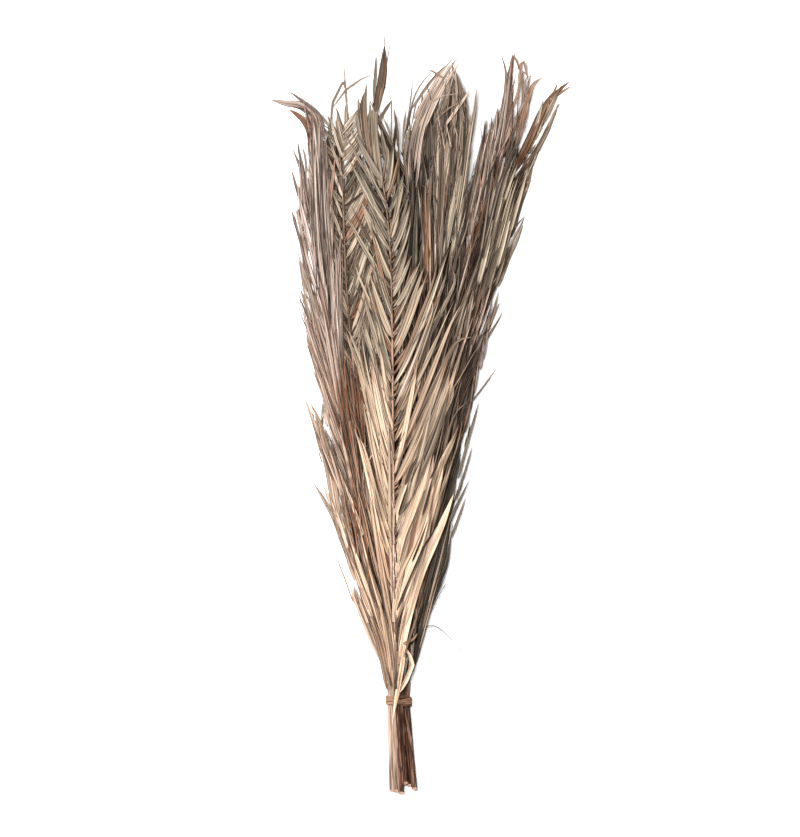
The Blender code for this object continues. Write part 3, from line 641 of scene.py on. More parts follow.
STRAYS["front_leaf"] = [
    (0.0125, 0.7, 0.55, 0.003,
     ((-0.0306, 0.8538), (-0.0255, 0.88), (-0.0211, 0.9077), (-0.0189, 0.9296), (-0.0182, 0.9485))),
    (0.01, 0.5, 0.45, 0.0025, ((-0.0262, 0.8684), (-0.0204, 0.8946), (-0.0182, 0.9179), (-0.0175, 0.9383))),
    (0.013, 0.05, 0.1, 0.002, ((-0.0233, 0.7431), (-0.0321, 0.8159), (-0.0313, 0.8553), (-0.0262, 0.8859))),
    (0.0036, 0.3, 1.0, 0.006, ((-0.0248, 0.8859), (-0.0211, 0.9135), (-0.0189, 0.9398))),
    (0.0016, 0.8, 0.3, 0.004, ((-0.016, 0.915), (-0.0124, 0.9383), (-0.008, 0.9616))),
    (0.0062, 0.05, 0.1, 0.003, ((-0.0313, 0.8567), (-0.0328, 0.8859), (-0.0313, 0.9121), (-0.0302, 0.9369))),
    (0.0085, 0.5, 0.45, 0.003, ((-0.0379, 0.7795), (-0.0452, 0.8276), (-0.0469, 0.8625), (-0.044, 0.8931))),
    (0.006, 0.2, 0.5, 0.002, ((-0.0481, 0.7984), (-0.0554, 0.8305), (-0.0583, 0.8538))),
    (0.006, 0.1, 0.3, 0.003, ((-0.0364, 0.7868), (-0.0393, 0.8232), (-0.0408, 0.8523))),
    (0.0016, 0.3, 0.7, 0.003,
     ((-0.0087, 0.8086), (-0.008, 0.8451), (-0.0083, 0.8684), (-0.0117, 0.8786), (-0.0189, 0.8931))),
    (0.0055, 0.2, 0.6, 0.003, ((-0.0277, 0.8378), (-0.0175, 0.8553), (-0.008, 0.8698))),
    (0.005, 0.4, 0.5, 0.003, ((0.0015, 0.8014), (-0.0007, 0.8305), (-0.0044, 0.8567))),
    (0.0035, 0.3, 0.6, 0.003, ((-0.0058, 0.8086), (-0.0131, 0.8305), (-0.0189, 0.8436))),
    (0.0035, 0.2, 0.4, 0.003, ((0.0087, 0.8014), (0.0102, 0.8334), (0.0131, 0.8567))),
    (0.008, 0.0, 0.0, 0.0065,
     ((0.0015, 0.0117), (0.0131, 0.0306), (0.0223, 0.0539), (0.0182, 0.0685), (0.008, 0.0845)), True),
    (0.008, 0.0, 0.0, 0.0088,
     ((0.0117, 0.0874), (0.0073, 0.0525), (0.0015, 0.0204), (-0.0036, -0.0102), (-0.0051, -0.0233)), True),
    (0.0022, 0.6, 0.4, 0.0035, ((-0.0192, 0.9296), (-0.0178, 0.9674))),
    (0.01, 0.1, 0.45, 0.002, ((-0.0058, 0.7358), (-0.0131, 0.778), (-0.0189, 0.8072), (-0.0233, 0.8276))),
    (0.005, 0.2, 0.6, 0.002, ((0.0015, 0.746), (0.0015, 0.7839), (0.0029, 0.8086))),
    (0.005, 0.1, 0.55, 0.002, ((0.016, 0.7402), (0.0117, 0.778), (0.0073, 0.8057))),
    (0.005, 0.6, 0.3, 0.01, ((0.0087, 0.0845), (0.016, 0.0874), (0.0248, 0.0932), (0.0291, 0.0991))),
    (0.0105, 0.0, 0.0, 0.003,
     ((0.0007, 0.0), (0.0029, 0.0408), (0.0066, 0.0801), (0.0138, 0.1195), (0.0233, 0.1632),
      (0.0393, 0.2156))),
    (0.015, 0.0, 0.0, 0.0045,
     ((0.0044, 0.0656), (0.0102, 0.102), (0.0204, 0.1457), (0.035, 0.1923), (0.051, 0.2287), (0.067, 0.2637),
      (0.0801, 0.2972))),
    (0.005, 0.2, 0.4, 0.003, ((-0.051, 0.8232), (-0.0539, 0.848), (-0.0561, 0.8742))),
    (0.006, 0.2, 0.3, 0.003, ((-0.0364, 0.8014), (-0.0379, 0.8378), (-0.0393, 0.8684))),
    (0.006, 0.1, 0.55, 0.002, ((0.0102, 0.7795), (0.0131, 0.8043), (0.0189, 0.8334))),
    (0.0031, 0.1, 1.0, 0.008, ((-0.0029, -0.0029), (-0.0023, 0.0364), (-0.0015, 0.0728), (-0.0009, 0.1136))),
    (0.0075, 0.3, 0.5, 0.002, ((-0.0481, 0.8159), (-0.051, 0.8392), (-0.0517, 0.8596), (-0.0488, 0.88))),
    (0.0055, 0.2, 0.4, 0.002, ((-0.0539, 0.8305), (-0.0539, 0.8538), (-0.0561, 0.8727))),
    (0.0155, 0.05, 0.0, 0.0055,
     ((-0.0044, 0.1166), (0.0044, 0.1646), (0.016, 0.1967), (0.0306, 0.2287), (0.0466, 0.2739),
      (0.0597, 0.3176), (0.067, 0.3468))),
    (0.014, 0.0, 0.0, 0.006,
     ((-0.0029, 0.1821), (0.0058, 0.2258), (0.0175, 0.2623), (0.0306, 0.3031), (0.0437, 0.3468),
      (0.0525, 0.3788))),
    (0.0115, 0.0, 0.05, 0.006,
     ((-0.0044, 0.255), (0.0044, 0.2914), (0.0146, 0.3235), (0.0262, 0.357), (0.0393, 0.3934))),
    (0.0048, 0.3, 1.0, 0.0125,
     ((0.0, 0.134), (0.0124, 0.1632), (0.0262, 0.1952), (0.0408, 0.2287), (0.0583, 0.2564))),
    (0.0064, 0.2, 1.0, 0.0125, ((0.0029, 0.271), (0.0095, 0.2929), (0.016, 0.3147))),
    (0.0048, 0.2, 1.0, 0.0125, ((0.0364, 0.271), (0.0437, 0.2972), (0.0495, 0.3205))),
    (0.0031, 0.4, 0.9, 0.0125, ((0.0044, 0.204), (0.0146, 0.2419), (0.0277, 0.2739), (0.0393, 0.306))),
    (0.0048, 0.2, 1.0, 0.0125, ((0.0117, 0.3147), (0.0204, 0.338), (0.0306, 0.3555))),
    (0.0036, 0.3, 1.0, 0.0095, ((-0.0015, 0.0874), (0.0029, 0.1136), (0.0102, 0.1399))),
    (0.0034, 0.3, 0.9, 0.0125, ((0.0102, 0.0656), (0.0219, 0.1049), (0.035, 0.1428))),
    (0.0034, 0.2, 1.0, 0.0125, ((0.0219, 0.204), (0.0335, 0.2331), (0.0437, 0.2623))),
    (0.0036, 0.2, 1.0, 0.0125, ((0.0481, 0.3235), (0.0583, 0.3468), (0.0656, 0.3701))),
    (0.0036, 0.2, 1.0, 0.006, ((0.0, 0.3351), (0.0073, 0.357), (0.016, 0.3774))),
    (0.002, 0.2, 1.0, 0.0125, ((-0.0204, 0.2623), (-0.0277, 0.2914), (-0.0335, 0.3176))),
    (0.002, 0.2, 1.0, 0.0095, ((-0.0131, 0.1166), (-0.0189, 0.1457), (-0.0233, 0.1748))),
]

# Sheaves of loose blades: how many, their width, the shares of peach, blush, rust and shade, their
# lift, the share of the lines that each covers, how far each drifts across to the near line, and the
# near and far plan lines between which they lie
# Sheaves with high shade are partly painted shade: dark backing blades that fill the gaps in the pile, and
# dark dashes beside the front rib
SHEAVES = {}
SHEAVES["back_leaf"] = [
    (18, 0.01, 0.1, 0.1, 0.15, 0.65, 0.0, 0.6, 0.0,
     ((-0.0656, 0.5391), (-0.0656, 0.6848), (-0.0685, 0.8014), (-0.0656, 0.848)),
     ((-0.0102, 0.5391), (-0.0131, 0.6848), (-0.0219, 0.7868), (-0.0335, 0.8421))),
    (12, 0.0085, 0.1, 0.1, 0.1, 0.7, 0.0, 0.5, 0.0,
     ((-0.1034, 0.7066), (-0.1034, 0.7722), (-0.1034, 0.8363)),
     ((-0.0787, 0.7066), (-0.0787, 0.7722), (-0.083, 0.8392))),
    (9, 0.0085, 0.1, 0.1, 0.1, 0.7, 0.0, 0.5, 0.0,
     ((-0.0772, 0.711), (-0.0758, 0.7504), (-0.0758, 0.7766)),
     ((-0.051, 0.711), (-0.051, 0.7576), (-0.051, 0.8188))),
]
SHEAVES["left_under_leaf"] = [
    (32, 0.013, 0.1, 0.1, 0.1, 0.7, -0.009, 0.6, 0.0,
     ((-0.1093, 0.3934), (-0.1049, 0.5391), (-0.0976, 0.6994), (-0.0976, 0.8378)),
     ((-0.0335, 0.3934), (-0.0452, 0.5391), (-0.051, 0.6994), (-0.0597, 0.8378))),
    (26, 0.0075, 0.9, 0.35, 0.12, 0.08, 0.002, 0.45, 0.35,
     ((-0.0176, 0.0146), (-0.0278, 0.0583), (-0.0409, 0.0874), (-0.0599, 0.1428), (-0.0743, 0.2011),
      (-0.0976, 0.2608), (-0.1093, 0.306), (-0.1238, 0.3788)),
     ((-0.0102, 0.0146), (-0.0146, 0.0583), (-0.0219, 0.0874), (-0.0364, 0.1428), (-0.051, 0.2011),
      (-0.0685, 0.2608), (-0.0801, 0.306), (-0.0976, 0.3788))),
    (34, 0.006, 0.5, 0.5, 0.15, 0.15, 0.003, 0.35, 0.5,
     ((-0.1034, 0.2914), (-0.1209, 0.3715), (-0.1238, 0.4371), (-0.1282, 0.51), (-0.1355, 0.5828),
      (-0.1399, 0.6411)),
     ((-0.0772, 0.2914), (-0.0947, 0.3715), (-0.1005, 0.4371), (-0.1093, 0.51), (-0.1151, 0.5828),
      (-0.1209, 0.6411))),
]
SHEAVES["right_outer_leaf"] = [
    (44, 0.007, 0.0, 0.0, 0.0, 1.0, 0.003, 0.7, 0.0,
     ((0.008, 0.0029), (0.0117, 0.0291), (0.0321, 0.1457), (0.0554, 0.2914), (0.0772, 0.408)),
     ((0.0125, 0.0029), (0.0165, 0.0291), (0.033, 0.0874), (0.053, 0.1457), (0.074, 0.204), (0.085, 0.2841),
      (0.102, 0.4007))),
    (16, 0.006, 0.1, 0.1, 0.05, 0.75, 0.004, 0.7, 0.0,
     ((0.0699, 0.3497), (0.0918, 0.4517), (0.1064, 0.5391)),
     ((0.0991, 0.3497), (0.115, 0.4517), (0.13, 0.5391))),
    (7, 0.0018, 0.9, 0.2, 0.1, 0.0, 0.009, 0.35, 0.0,
     ((0.016, 0.0291), (0.0408, 0.1311), (0.0743, 0.2623), (0.0889, 0.3497)),
     ((0.0219, 0.0291), (0.0539, 0.1457), (0.083, 0.2623), (0.1005, 0.3788))),
    (22, 0.005, 0.0, 0.0, 0.05, 1.0, 0.007, 0.5, 0.0,
     ((0.0175, 0.0291), (0.035, 0.1457), (0.0641, 0.2914), (0.0889, 0.3788)),
     ((0.02, 0.0291), (0.0495, 0.1457), (0.0735, 0.204), (0.0815, 0.2914), (0.1005, 0.3788))),
    (12, 0.004, 0.1, 0.2, 0.75, 0.35, 0.006, 0.5, 0.0,
     ((0.1209, 0.6556), (0.1574, 0.7431), (0.1909, 0.8159)),
     ((0.1384, 0.6556), (0.1763, 0.7431), (0.2084, 0.8014))),
    (6, 0.009, 0.2, 0.2, 0.1, 0.6, 0.0, 0.6, 0.0,
     ((0.1457, 0.7314), (0.1544, 0.7635), (0.1646, 0.7926)),
     ((0.1632, 0.7372), (0.1719, 0.7693), (0.1778, 0.797))),
    (12, 0.0036, 0.3, 0.5, 0.05, 0.0, 0.008, 0.35, 0.2,
     ((0.0801, 0.3788), (0.0947, 0.4517), (0.1064, 0.5245), (0.118, 0.5828)),
     ((0.102, 0.3788), (0.1166, 0.4517), (0.1297, 0.5245), (0.1428, 0.5828))),
]
SHEAVES["right_inner_leaf"] = [
    (14, 0.005, 0.2, 0.5, 0.1, 0.2, 0.005, 0.7, 0.0,
     ((0.0845, 0.6557), (0.1005, 0.7285), (0.1151, 0.8014), (0.1268, 0.848)),
     ((0.1034, 0.6557), (0.1209, 0.7285), (0.1355, 0.8014), (0.1472, 0.8567))),
    (9, 0.0035, 0.2, 0.6, 0.05, 0.2, 0.006, 0.7, 0.0,
     ((0.134, 0.7722), (0.1486, 0.8378), (0.1559, 0.8888), (0.1544, 0.9369)),
     ((0.153, 0.7868), (0.1617, 0.8596), (0.1676, 0.9033), (0.1676, 0.9339))),
    (5, 0.0028, 0.1, 0.1, 0.6, 0.25, 0.005, 0.7, 0.0,
     ((0.1661, 0.8014), (0.1748, 0.8742), (0.1748, 0.9237), (0.1807, 0.9179), (0.1836, 0.8888)),
     ((0.1792, 0.8014), (0.1909, 0.8596), (0.1909, 0.8975), (0.2025, 0.9062), (0.2084, 0.8975))),
    (12, 0.0042, 0.1, 0.1, 0.9, 0.45, 0.006, 0.45, 0.0,
     ((0.0772, 0.5391), (0.0947, 0.6265), (0.118, 0.7066), (0.1413, 0.7795)),
     ((0.0947, 0.5391), (0.1151, 0.6265), (0.1384, 0.7066), (0.1588, 0.7795))),
    (11, 0.0026, 0.1, 0.1, 0.25, 1.0, 0.007, 0.45, 0.0,
     ((0.0743, 0.408), (0.0947, 0.5391), (0.118, 0.6702), (0.1384, 0.8014)),
     ((0.0976, 0.408), (0.1209, 0.5391), (0.1544, 0.6702), (0.1676, 0.8014))),
    (19, 0.0022, 0.0, 0.0, 0.3, 1.0, 0.007, 0.35, 0.05,
     ((0.1064, 0.6848), (0.1268, 0.7868), (0.1413, 0.8596), (0.1457, 0.9063)),
     ((0.1574, 0.6848), (0.1778, 0.7868), (0.1836, 0.8596), (0.1734, 0.9092))),
    (6, 0.008, 0.1, 0.1, 0.1, 0.75, 0.0, 0.6, 0.0,
     ((0.153, 0.7606), (0.1588, 0.8014), (0.1661, 0.8334)),
     ((0.1676, 0.7635), (0.1734, 0.8014), (0.1778, 0.8276))),
    (17, 0.008, 0.12, 0.0, 0.04, 0.0, 0.0085, 0.45, 0.0,
     ((0.1064, 0.5828), (0.1224, 0.6484), (0.1355, 0.7066), (0.1472, 0.7504), (0.1661, 0.797),
      (0.1865, 0.8276)),
     ((0.1384, 0.5828), (0.1588, 0.6484), (0.1763, 0.7066), (0.1923, 0.7562), (0.2011, 0.7868),
      (0.204, 0.8057))),
    (12, 0.0019, 0.0, 0.0, 0.35, 1.0, 0.0115, 0.35, 0.0,
     ((0.1093, 0.5828), (0.1253, 0.6484), (0.1384, 0.7066), (0.1501, 0.7504), (0.169, 0.797)),
     ((0.1355, 0.5828), (0.1559, 0.6484), (0.1734, 0.7066), (0.1894, 0.7562), (0.1982, 0.7839))),
]
SHEAVES["middle_leaf"] = [
    (13, 0.0045, 0.2, 0.6, 0.05, 0.0, 0.006, 0.7, 0.0,
     ((0.0117, 0.7212), (0.016, 0.8014), (0.0291, 0.8509), (0.0466, 0.8859), (0.0641, 0.915)),
     ((0.0277, 0.7431), (0.0393, 0.8232), (0.0568, 0.8742), (0.0728, 0.9063), (0.086, 0.9296))),
    (13, 0.006, 0.1, 0.1, 0.1, 0.45, 0.004, 0.7, 0.0,
     ((0.0627, 0.6848), (0.0699, 0.7868), (0.0772, 0.8596), (0.0801, 0.9106)),
     ((0.0947, 0.6994), (0.0991, 0.8014), (0.0976, 0.8596), (0.0874, 0.9004))),
    (12, 0.008, 0.1, 0.0, 0.05, 0.1, 0.005, 0.7, 0.0,
     ((0.0627, 0.6411), (0.0801, 0.7285), (0.0918, 0.7868), (0.0976, 0.8378)),
     ((0.0743, 0.6119), (0.0947, 0.7285), (0.1064, 0.8159), (0.118, 0.8786))),
    (8, 0.009, 0.0, 0.0, 0.0, 0.95, 0.003, 0.7, 0.0,
     ((0.0102, 0.5537), (0.0131, 0.6411), (0.0189, 0.7576)),
     ((0.0262, 0.5391), (0.0277, 0.6411), (0.0306, 0.7576))),
    (12, 0.0035, 0.2, 0.1, 1.0, 0.15, 0.007, 0.5, 0.0,
     ((0.0393, 0.5828), (0.0393, 0.6556), (0.0364, 0.7285), (0.0393, 0.7868)),
     ((0.0495, 0.5828), (0.0481, 0.6556), (0.0481, 0.7285), (0.0568, 0.7868))),
    (14, 0.003, 0.0, 0.1, 0.15, 1.0, 0.007, 0.4, 0.0,
     ((0.0248, 0.408), (0.0393, 0.5537), (0.051, 0.6994), (0.0583, 0.8305)),
     ((0.0714, 0.408), (0.086, 0.5537), (0.0947, 0.6994), (0.0903, 0.8305))),
    (7, 0.0085, 0.1, 0.1, 0.1, 0.75, 0.0, 0.6, 0.0,
     ((0.0437, 0.7722), (0.0466, 0.8159), (0.0495, 0.8567)),
     ((0.0627, 0.7722), (0.0641, 0.8159), (0.0627, 0.8567))),
    (12, 0.0018, 0.1, 0.2, 0.2, 0.9, 0.0085, 0.45, 0.1,
     ((0.0277, 0.7795), (0.0481, 0.8378), (0.0699, 0.8771), (0.0889, 0.9033)),
     ((0.0801, 0.7722), (0.0947, 0.8305), (0.102, 0.8742), (0.0947, 0.9048))),
    (10, 0.0017, 0.4, 0.5, 0.0, 0.0, 0.0095, 0.3, 0.35,
     ((0.0364, 0.7984), (0.0539, 0.848), (0.0728, 0.8829), (0.086, 0.9092)),
     ((0.0918, 0.7868), (0.102, 0.8421), (0.1005, 0.8771), (0.0918, 0.9063))),
]
SHEAVES["left_over_leaf"] = [
    (30, 0.0048, 0.2, 0.75, 0.0, 0.22, 0.006, 0.6, 0.1,
     ((-0.118, 0.5828), (-0.1268, 0.6994), (-0.1282, 0.8014), (-0.1253, 0.8509)),
     ((-0.0903, 0.5828), (-0.1005, 0.6994), (-0.1034, 0.8014), (-0.1064, 0.8567))),
    (28, 0.0046, 0.3, 0.75, 0.05, 0.15, 0.003, 0.3, 0.6,
     ((-0.1297, 0.5391), (-0.1384, 0.6119), (-0.1428, 0.6702), (-0.1457, 0.7212), (-0.1413, 0.7722),
      (-0.1355, 0.8159)),
     ((-0.1093, 0.5391), (-0.1166, 0.6119), (-0.1209, 0.6702), (-0.1238, 0.7212), (-0.1238, 0.7722),
      (-0.1224, 0.8159))),
    (10, 0.0055, 1.0, 0.2, 0.0, 0.05, 0.002, 0.7, 0.0,
     ((-0.0117, 0.0073), (-0.016, 0.0437), (-0.0248, 0.0874), (-0.0364, 0.1457)),
     ((-0.0044, 0.0073), (-0.0058, 0.0437), (-0.0087, 0.0874), (-0.0131, 0.1457))),
    (22, 0.0024, 0.1, 0.2, 0.15, 0.95, 0.007, 0.5, 0.1,
     ((-0.118, 0.5828), (-0.1253, 0.6702), (-0.1282, 0.8014), (-0.1253, 0.8509)),
     ((-0.086, 0.5828), (-0.0962, 0.6702), (-0.102, 0.8014), (-0.1049, 0.8509))),
    (8, 0.005, 0.3, 0.75, 0.05, 0.15, 0.002, 0.5, 0.1,
     ((-0.1413, 0.6411), (-0.1413, 0.7285), (-0.1442, 0.8014)),
     ((-0.1297, 0.6411), (-0.1311, 0.7285), (-0.1355, 0.8014))),
    (16, 0.0058, 0.8, 0.45, 0.05, 0.05, 0.004, 0.35, 0.3,
     ((-0.0656, 0.1603), (-0.086, 0.2331), (-0.0991, 0.306), (-0.1093, 0.3788)),
     ((-0.0364, 0.1603), (-0.051, 0.2331), (-0.0656, 0.306), (-0.0772, 0.3788))),
]
SHEAVES["front_leaf"] = [
    (9, 0.0036, 0.3, 0.2, 1.0, 0.15, 0.001, 0.4, 0.15,
     ((-0.0612, 0.1457), (-0.0685, 0.2914), (-0.083, 0.4371), (-0.086, 0.5245)),
     ((-0.0364, 0.1457), (-0.0423, 0.2914), (-0.051, 0.4371), (-0.0539, 0.5245))),
    (7, 0.0032, 0.3, 0.2, 1.0, 0.35, 0.003, 0.5, 0.1,
     ((-0.0685, 0.3934), (-0.0787, 0.4662), (-0.0816, 0.5274)),
     ((-0.0452, 0.3934), (-0.051, 0.4662), (-0.0568, 0.5318))),
    (10, 0.003, 0.5, 0.2, 1.0, 0.15, 0.004, 0.3, 0.2,
     ((-0.0656, 0.1603), (-0.0816, 0.2914), (-0.0903, 0.3934), (-0.0918, 0.4517)),
     ((-0.0437, 0.1603), (-0.0525, 0.2914), (-0.0641, 0.3934), (-0.0685, 0.4517))),
    (16, 0.0074, 1.0, 0.15, 0.05, 0.0, 0.005, 0.45, 0.25,
     ((-0.0175, 0.0117), (-0.0291, 0.0801), (-0.0525, 0.1574), (-0.0772, 0.2331)),
     ((-0.0044, 0.0117), (-0.0073, 0.0801), (-0.0131, 0.1574), (-0.0219, 0.2331))),
    (9, 0.0012, 0.5, 0.2, 0.5, 0.6, 0.006, 0.4, 0.2,
     ((-0.016, 0.0146), (-0.0291, 0.0801), (-0.0525, 0.1574), (-0.0743, 0.2331)),
     ((-0.0044, 0.0146), (-0.0087, 0.0801), (-0.016, 0.1574), (-0.0248, 0.2331))),
    (24, 0.0021, 0.6, 0.0, 0.45, 1.0, 0.011, 0.06, 0.0,
     ((-0.0035, 0.0), (-0.0032, 0.0874), (-0.0035, 0.1748), (-0.0047, 0.2914)),
     ((0.0003, 0.0), (0.0009, 0.0874), (0.0009, 0.1748), (-0.0006, 0.2914))),
]

# Tips that reach out of the outline
REACHES = {
    "left_over_leaf": ((-0.137, 0.8145), (-0.1442, 0.6556), (-0.1472, 0.6017)),
    "left_under_leaf": ((-0.1399, 0.5799), (-0.1326, 0.5187), (-0.1253, 0.4881)),
    "right_outer_leaf": ((0.1836, 0.7023), (0.1836, 0.7445), (0.1967, 0.7562), (0.153, 0.5653),
        (0.1049, 0.3205), (0.0714, 0.1821)),
}

# Bare places between the tips, which no row or sheaf reaches into
BARE = (
    ((-0.1967, 0.9908), (-0.1967, 0.88), (-0.1559, 0.8917), (-0.1413, 0.88), (-0.1253, 0.8684),
     (-0.1093, 0.8567), (-0.0962, 0.8553), (-0.0889, 0.8625), (-0.086, 0.9908)),
    ((-0.1967, 0.8567), (-0.153, 0.8567), (-0.137, 0.8451), (-0.1297, 0.829), (-0.1282, 0.8145),
     (-0.1413, 0.8203), (-0.1967, 0.8334)),
    ((-0.086, 0.9908), (-0.0816, 0.8669), (-0.0699, 0.8509), (-0.0627, 0.8509), (-0.0583, 0.8625),
     (-0.0525, 0.8742), (-0.0495, 0.8917), (-0.0423, 0.8946), (-0.0379, 0.9325), (-0.035, 0.9908)),
    ((-0.0131, 0.9908), (-0.016, 0.8815), (-0.0087, 0.848), (-0.0073, 0.813), (0.0015, 0.8014),
     (0.0073, 0.8086), (0.0131, 0.8334), (0.0204, 0.8655), (0.0321, 0.8946), (0.0495, 0.9179),
     (0.0699, 0.9325), (0.0801, 0.9383), (0.0889, 0.9325), (0.0932, 0.915), (0.1005, 0.8888),
     (0.1078, 0.8684), (0.1136, 0.8888), (0.1209, 0.9908)),
    ((0.1209, 0.9908), (0.1195, 0.8815), (0.118, 0.8451), (0.1122, 0.8086), (0.1049, 0.7635),
     (0.1078, 0.7576), (0.1107, 0.7795), (0.1166, 0.8159), (0.1224, 0.8494), (0.1297, 0.8392),
     (0.1355, 0.8421), (0.1384, 0.8567), (0.1501, 0.8669), (0.1544, 0.8888), (0.1559, 0.9325),
     (0.1515, 0.947), (0.1428, 0.9908)),
    ((0.2011, 0.9908), (0.2113, 0.9063), (0.2084, 0.8859), (0.1967, 0.8625), (0.1909, 0.8378),
     (0.1807, 0.8101), (0.1741, 0.7897), (0.1763, 0.7824), (0.185, 0.8014), (0.1982, 0.8436),
     (0.2098, 0.8727), (0.2287, 0.8917), (0.2375, 0.8975), (0.2593, 0.9092), (0.2593, 0.9908)),
    ((0.2535, 0.8917), (0.2331, 0.8771), (0.2171, 0.8421), (0.2025, 0.8159), (0.1865, 0.7897),
     (0.1676, 0.7606), (0.1705, 0.7562), (0.1894, 0.7824), (0.2054, 0.8086), (0.2215, 0.8392),
     (0.2331, 0.8669), (0.2404, 0.8742)),
    ((-0.1384, 0.5274), (-0.1253, 0.5012), (-0.1166, 0.4662), (-0.1078, 0.4342), (-0.0962, 0.3846),
     (-0.1136, 0.408), (-0.1253, 0.4313), (-0.1384, 0.44)),
    ((-0.1209, 0.3672), (-0.1107, 0.3526), (-0.0962, 0.3264), (-0.086, 0.2972), (-0.0772, 0.2666),
     (-0.0976, 0.2914), (-0.1093, 0.3147), (-0.1209, 0.3293)),
    ((-0.1005, 0.2623), (-0.0801, 0.2244), (-0.067, 0.1982), (-0.0525, 0.1574), (-0.0714, 0.1807),
     (-0.086, 0.204), (-0.1005, 0.2258)),
    ((0.1107, 0.4109), (0.1064, 0.3788), (0.0947, 0.3351), (0.0874, 0.3031), (0.0845, 0.3089),
     (0.0918, 0.3468), (0.1005, 0.3846)),
    ((0.1705, 0.9033), (0.1727, 0.8742), (0.1705, 0.8509), (0.169, 0.8742)),
    ((-0.1421, 0.8188), (-0.1268, 0.8188), (-0.1282, 0.778), (-0.1319, 0.778), (-0.134, 0.8057),
     (-0.1391, 0.8072)),
    ((-0.1559, 0.7984), (-0.1457, 0.778), (-0.1413, 0.7606), (-0.1457, 0.7576), (-0.1501, 0.7693),
     (-0.1559, 0.7722)),
    ((-0.1559, 0.7635), (-0.1464, 0.7402), (-0.1435, 0.7227), (-0.1486, 0.711), (-0.1559, 0.7139)),
    ((-0.1559, 0.7081), (-0.1501, 0.6906), (-0.1472, 0.6702), (-0.1559, 0.6702)),
    ((0.2098, 0.7984), (0.1996, 0.778), (0.1923, 0.7576), (0.188, 0.7416), (0.1938, 0.7372),
     (0.2025, 0.7576), (0.2098, 0.778)),
    ((0.1807, 0.7081), (0.1763, 0.6906), (0.1676, 0.6717), (0.1617, 0.6586), (0.1588, 0.6615),
     (0.1661, 0.6819), (0.1719, 0.7008)),
    ((0.1005, 0.306), (0.0903, 0.2929), (0.0816, 0.2725), (0.0743, 0.2521), (0.0772, 0.2491),
     (0.0874, 0.271), (0.0962, 0.287)),
)


def colour_setting(name, description, *rgb):
    """Colour setting whose default is an sRGB colour given as 0 to 255."""
    return FloatVectorProperty(
        name=name, description=description, default=linear(*rgb), min=0.0, max=1.0, subtype="COLOR")


class LeafSettings(bpy.types.PropertyGroup):
    """Sizes and colours of the leaves."""

    thickness: FloatProperty(
        name="Blade Thickness", description="Thickness of a leaflet along its crease",
        default=0.0006, min=0.0002, max=0.002, unit="LENGTH")
    spread: FloatProperty(
        name="Angle Spread", description="How far a leaflet strays from its row's angle",
        default=math.radians(4.0), min=0.0, max=0.5, subtype="ANGLE")
    roll: FloatProperty(
        name="Roll Spread", description="How far a leaflet turns about its own length",
        default=math.radians(19.0), min=0.0, max=1.5, subtype="ANGLE")
    crease: FloatProperty(
        name="Crease Angle", description="Usual rise of a leaflet's halves from its crease",
        default=math.radians(27.0), min=0.0, max=1.4, subtype="ANGLE")
    # Painted shade: how much the leaflets deep in the pile are darkened, in place of the shade that the
    # leaves over them cast
    painted_depth_shade: FloatProperty(
        name="Depth Shade", description="How much darker the leaflets deep in the pile are",
        default=0.93, min=0.0, max=1.0, subtype="FACTOR")
    peach: colour_setting("Peach", "Colour of the lower leaflets", 209, 180, 154)
    olive: colour_setting("Olive", "Colour of the upper leaflets", 156, 143, 124)
    blush: colour_setting(
        "Blush", "Dusty pink tinge of leaflets on the left and of some on the right", 178, 157, 151)
    rust: colour_setting("Rust", "Orange brown of withered tips and blades", 120, 72, 42)
    # Shade is partly the dark colour of undersides and partly painted shade, given to slivers, slits and
    # backing blades in the gaps
    shade: colour_setting("Shade", "Brown black of the dark undersides", 23, 19, 16)
    rib: colour_setting("Rib", "Brown tan of the ribs higher up", 172, 136, 114)
    low_rib: colour_setting("Low Rib", "Pale pink tan of the ribs near the stems", 236, 205, 190)
    pale_stem: colour_setting("Pale Stem", "Cream of the stems on the left", 192, 165, 145)
    dark_stem: colour_setting("Dark Stem", "Red brown of the stems on the right", 62, 37, 29)
    worn_stem: colour_setting("Worn Stem", "Tan of the streaks where a stem's skin is worn", 172, 128, 102)
    stain: colour_setting("Stain", "Brown of the blotches on the stems and ribs", 104, 68, 50)
    cut_end: colour_setting("Cut End", "Pale pith of the cut ends", 222, 178, 148)
    pith_specks: colour_setting("Pith Specks", "Tan of the specks in the cut ends", 196, 140, 104)


class TieSettings(bpy.types.PropertyGroup):
    """Sizes and colours of the tie."""

    strand_width: FloatProperty(
        name="Strand Width", description="Width of the wound strand along the stems",
        default=0.0039, min=0.001, max=0.01, unit="LENGTH")
    turns: FloatProperty(
        name="Turns", description="Number of turns round the stems",
        default=3.1, min=1.0, max=6.0)
    fibres: IntProperty(
        name="Fibres", description="Number of loose fibres on the strand",
        default=46, min=0, max=200)
    # Brown is the fibre's colour where lit; Dark is painted shade in the hollows between the fibres
    brown: colour_setting("Brown", "Lit brown of the fibre", 122, 85, 62)
    dark: colour_setting("Dark", "Dark brown between the fibres", 38, 23, 16)
    pale: colour_setting("Pale Fibre", "Straw colour of the palest loose fibres", 214, 170, 132)


class StageSettings(bpy.types.PropertyGroup):
    """Floor, lights and camera."""

    floor: colour_setting("Floor", "Pale colour of the floor", 246, 246, 245)
    key: FloatProperty(
        name="Key Light", description="Power of the soft light overhead",
        default=118.0, min=0.0, unit="POWER")
    side: FloatProperty(
        name="Side Light", description="Power of the low light from the left",
        default=142.0, min=0.0, unit="POWER")
    sky: FloatProperty(
        name="Sky", description="Strength of the even light from all round", default=0.28, min=0.0)
    distance: FloatProperty(
        name="Camera Distance", description="Height of the camera over the surface",
        default=6.0, min=1.0, max=20.0, unit="LENGTH")
    view_height: FloatProperty(
        name="View Height", description="Height of the picture at the surface",
        default=PICTURE_HEIGHT * PIXEL_SIZE, min=0.1, max=5.0, unit="LENGTH")


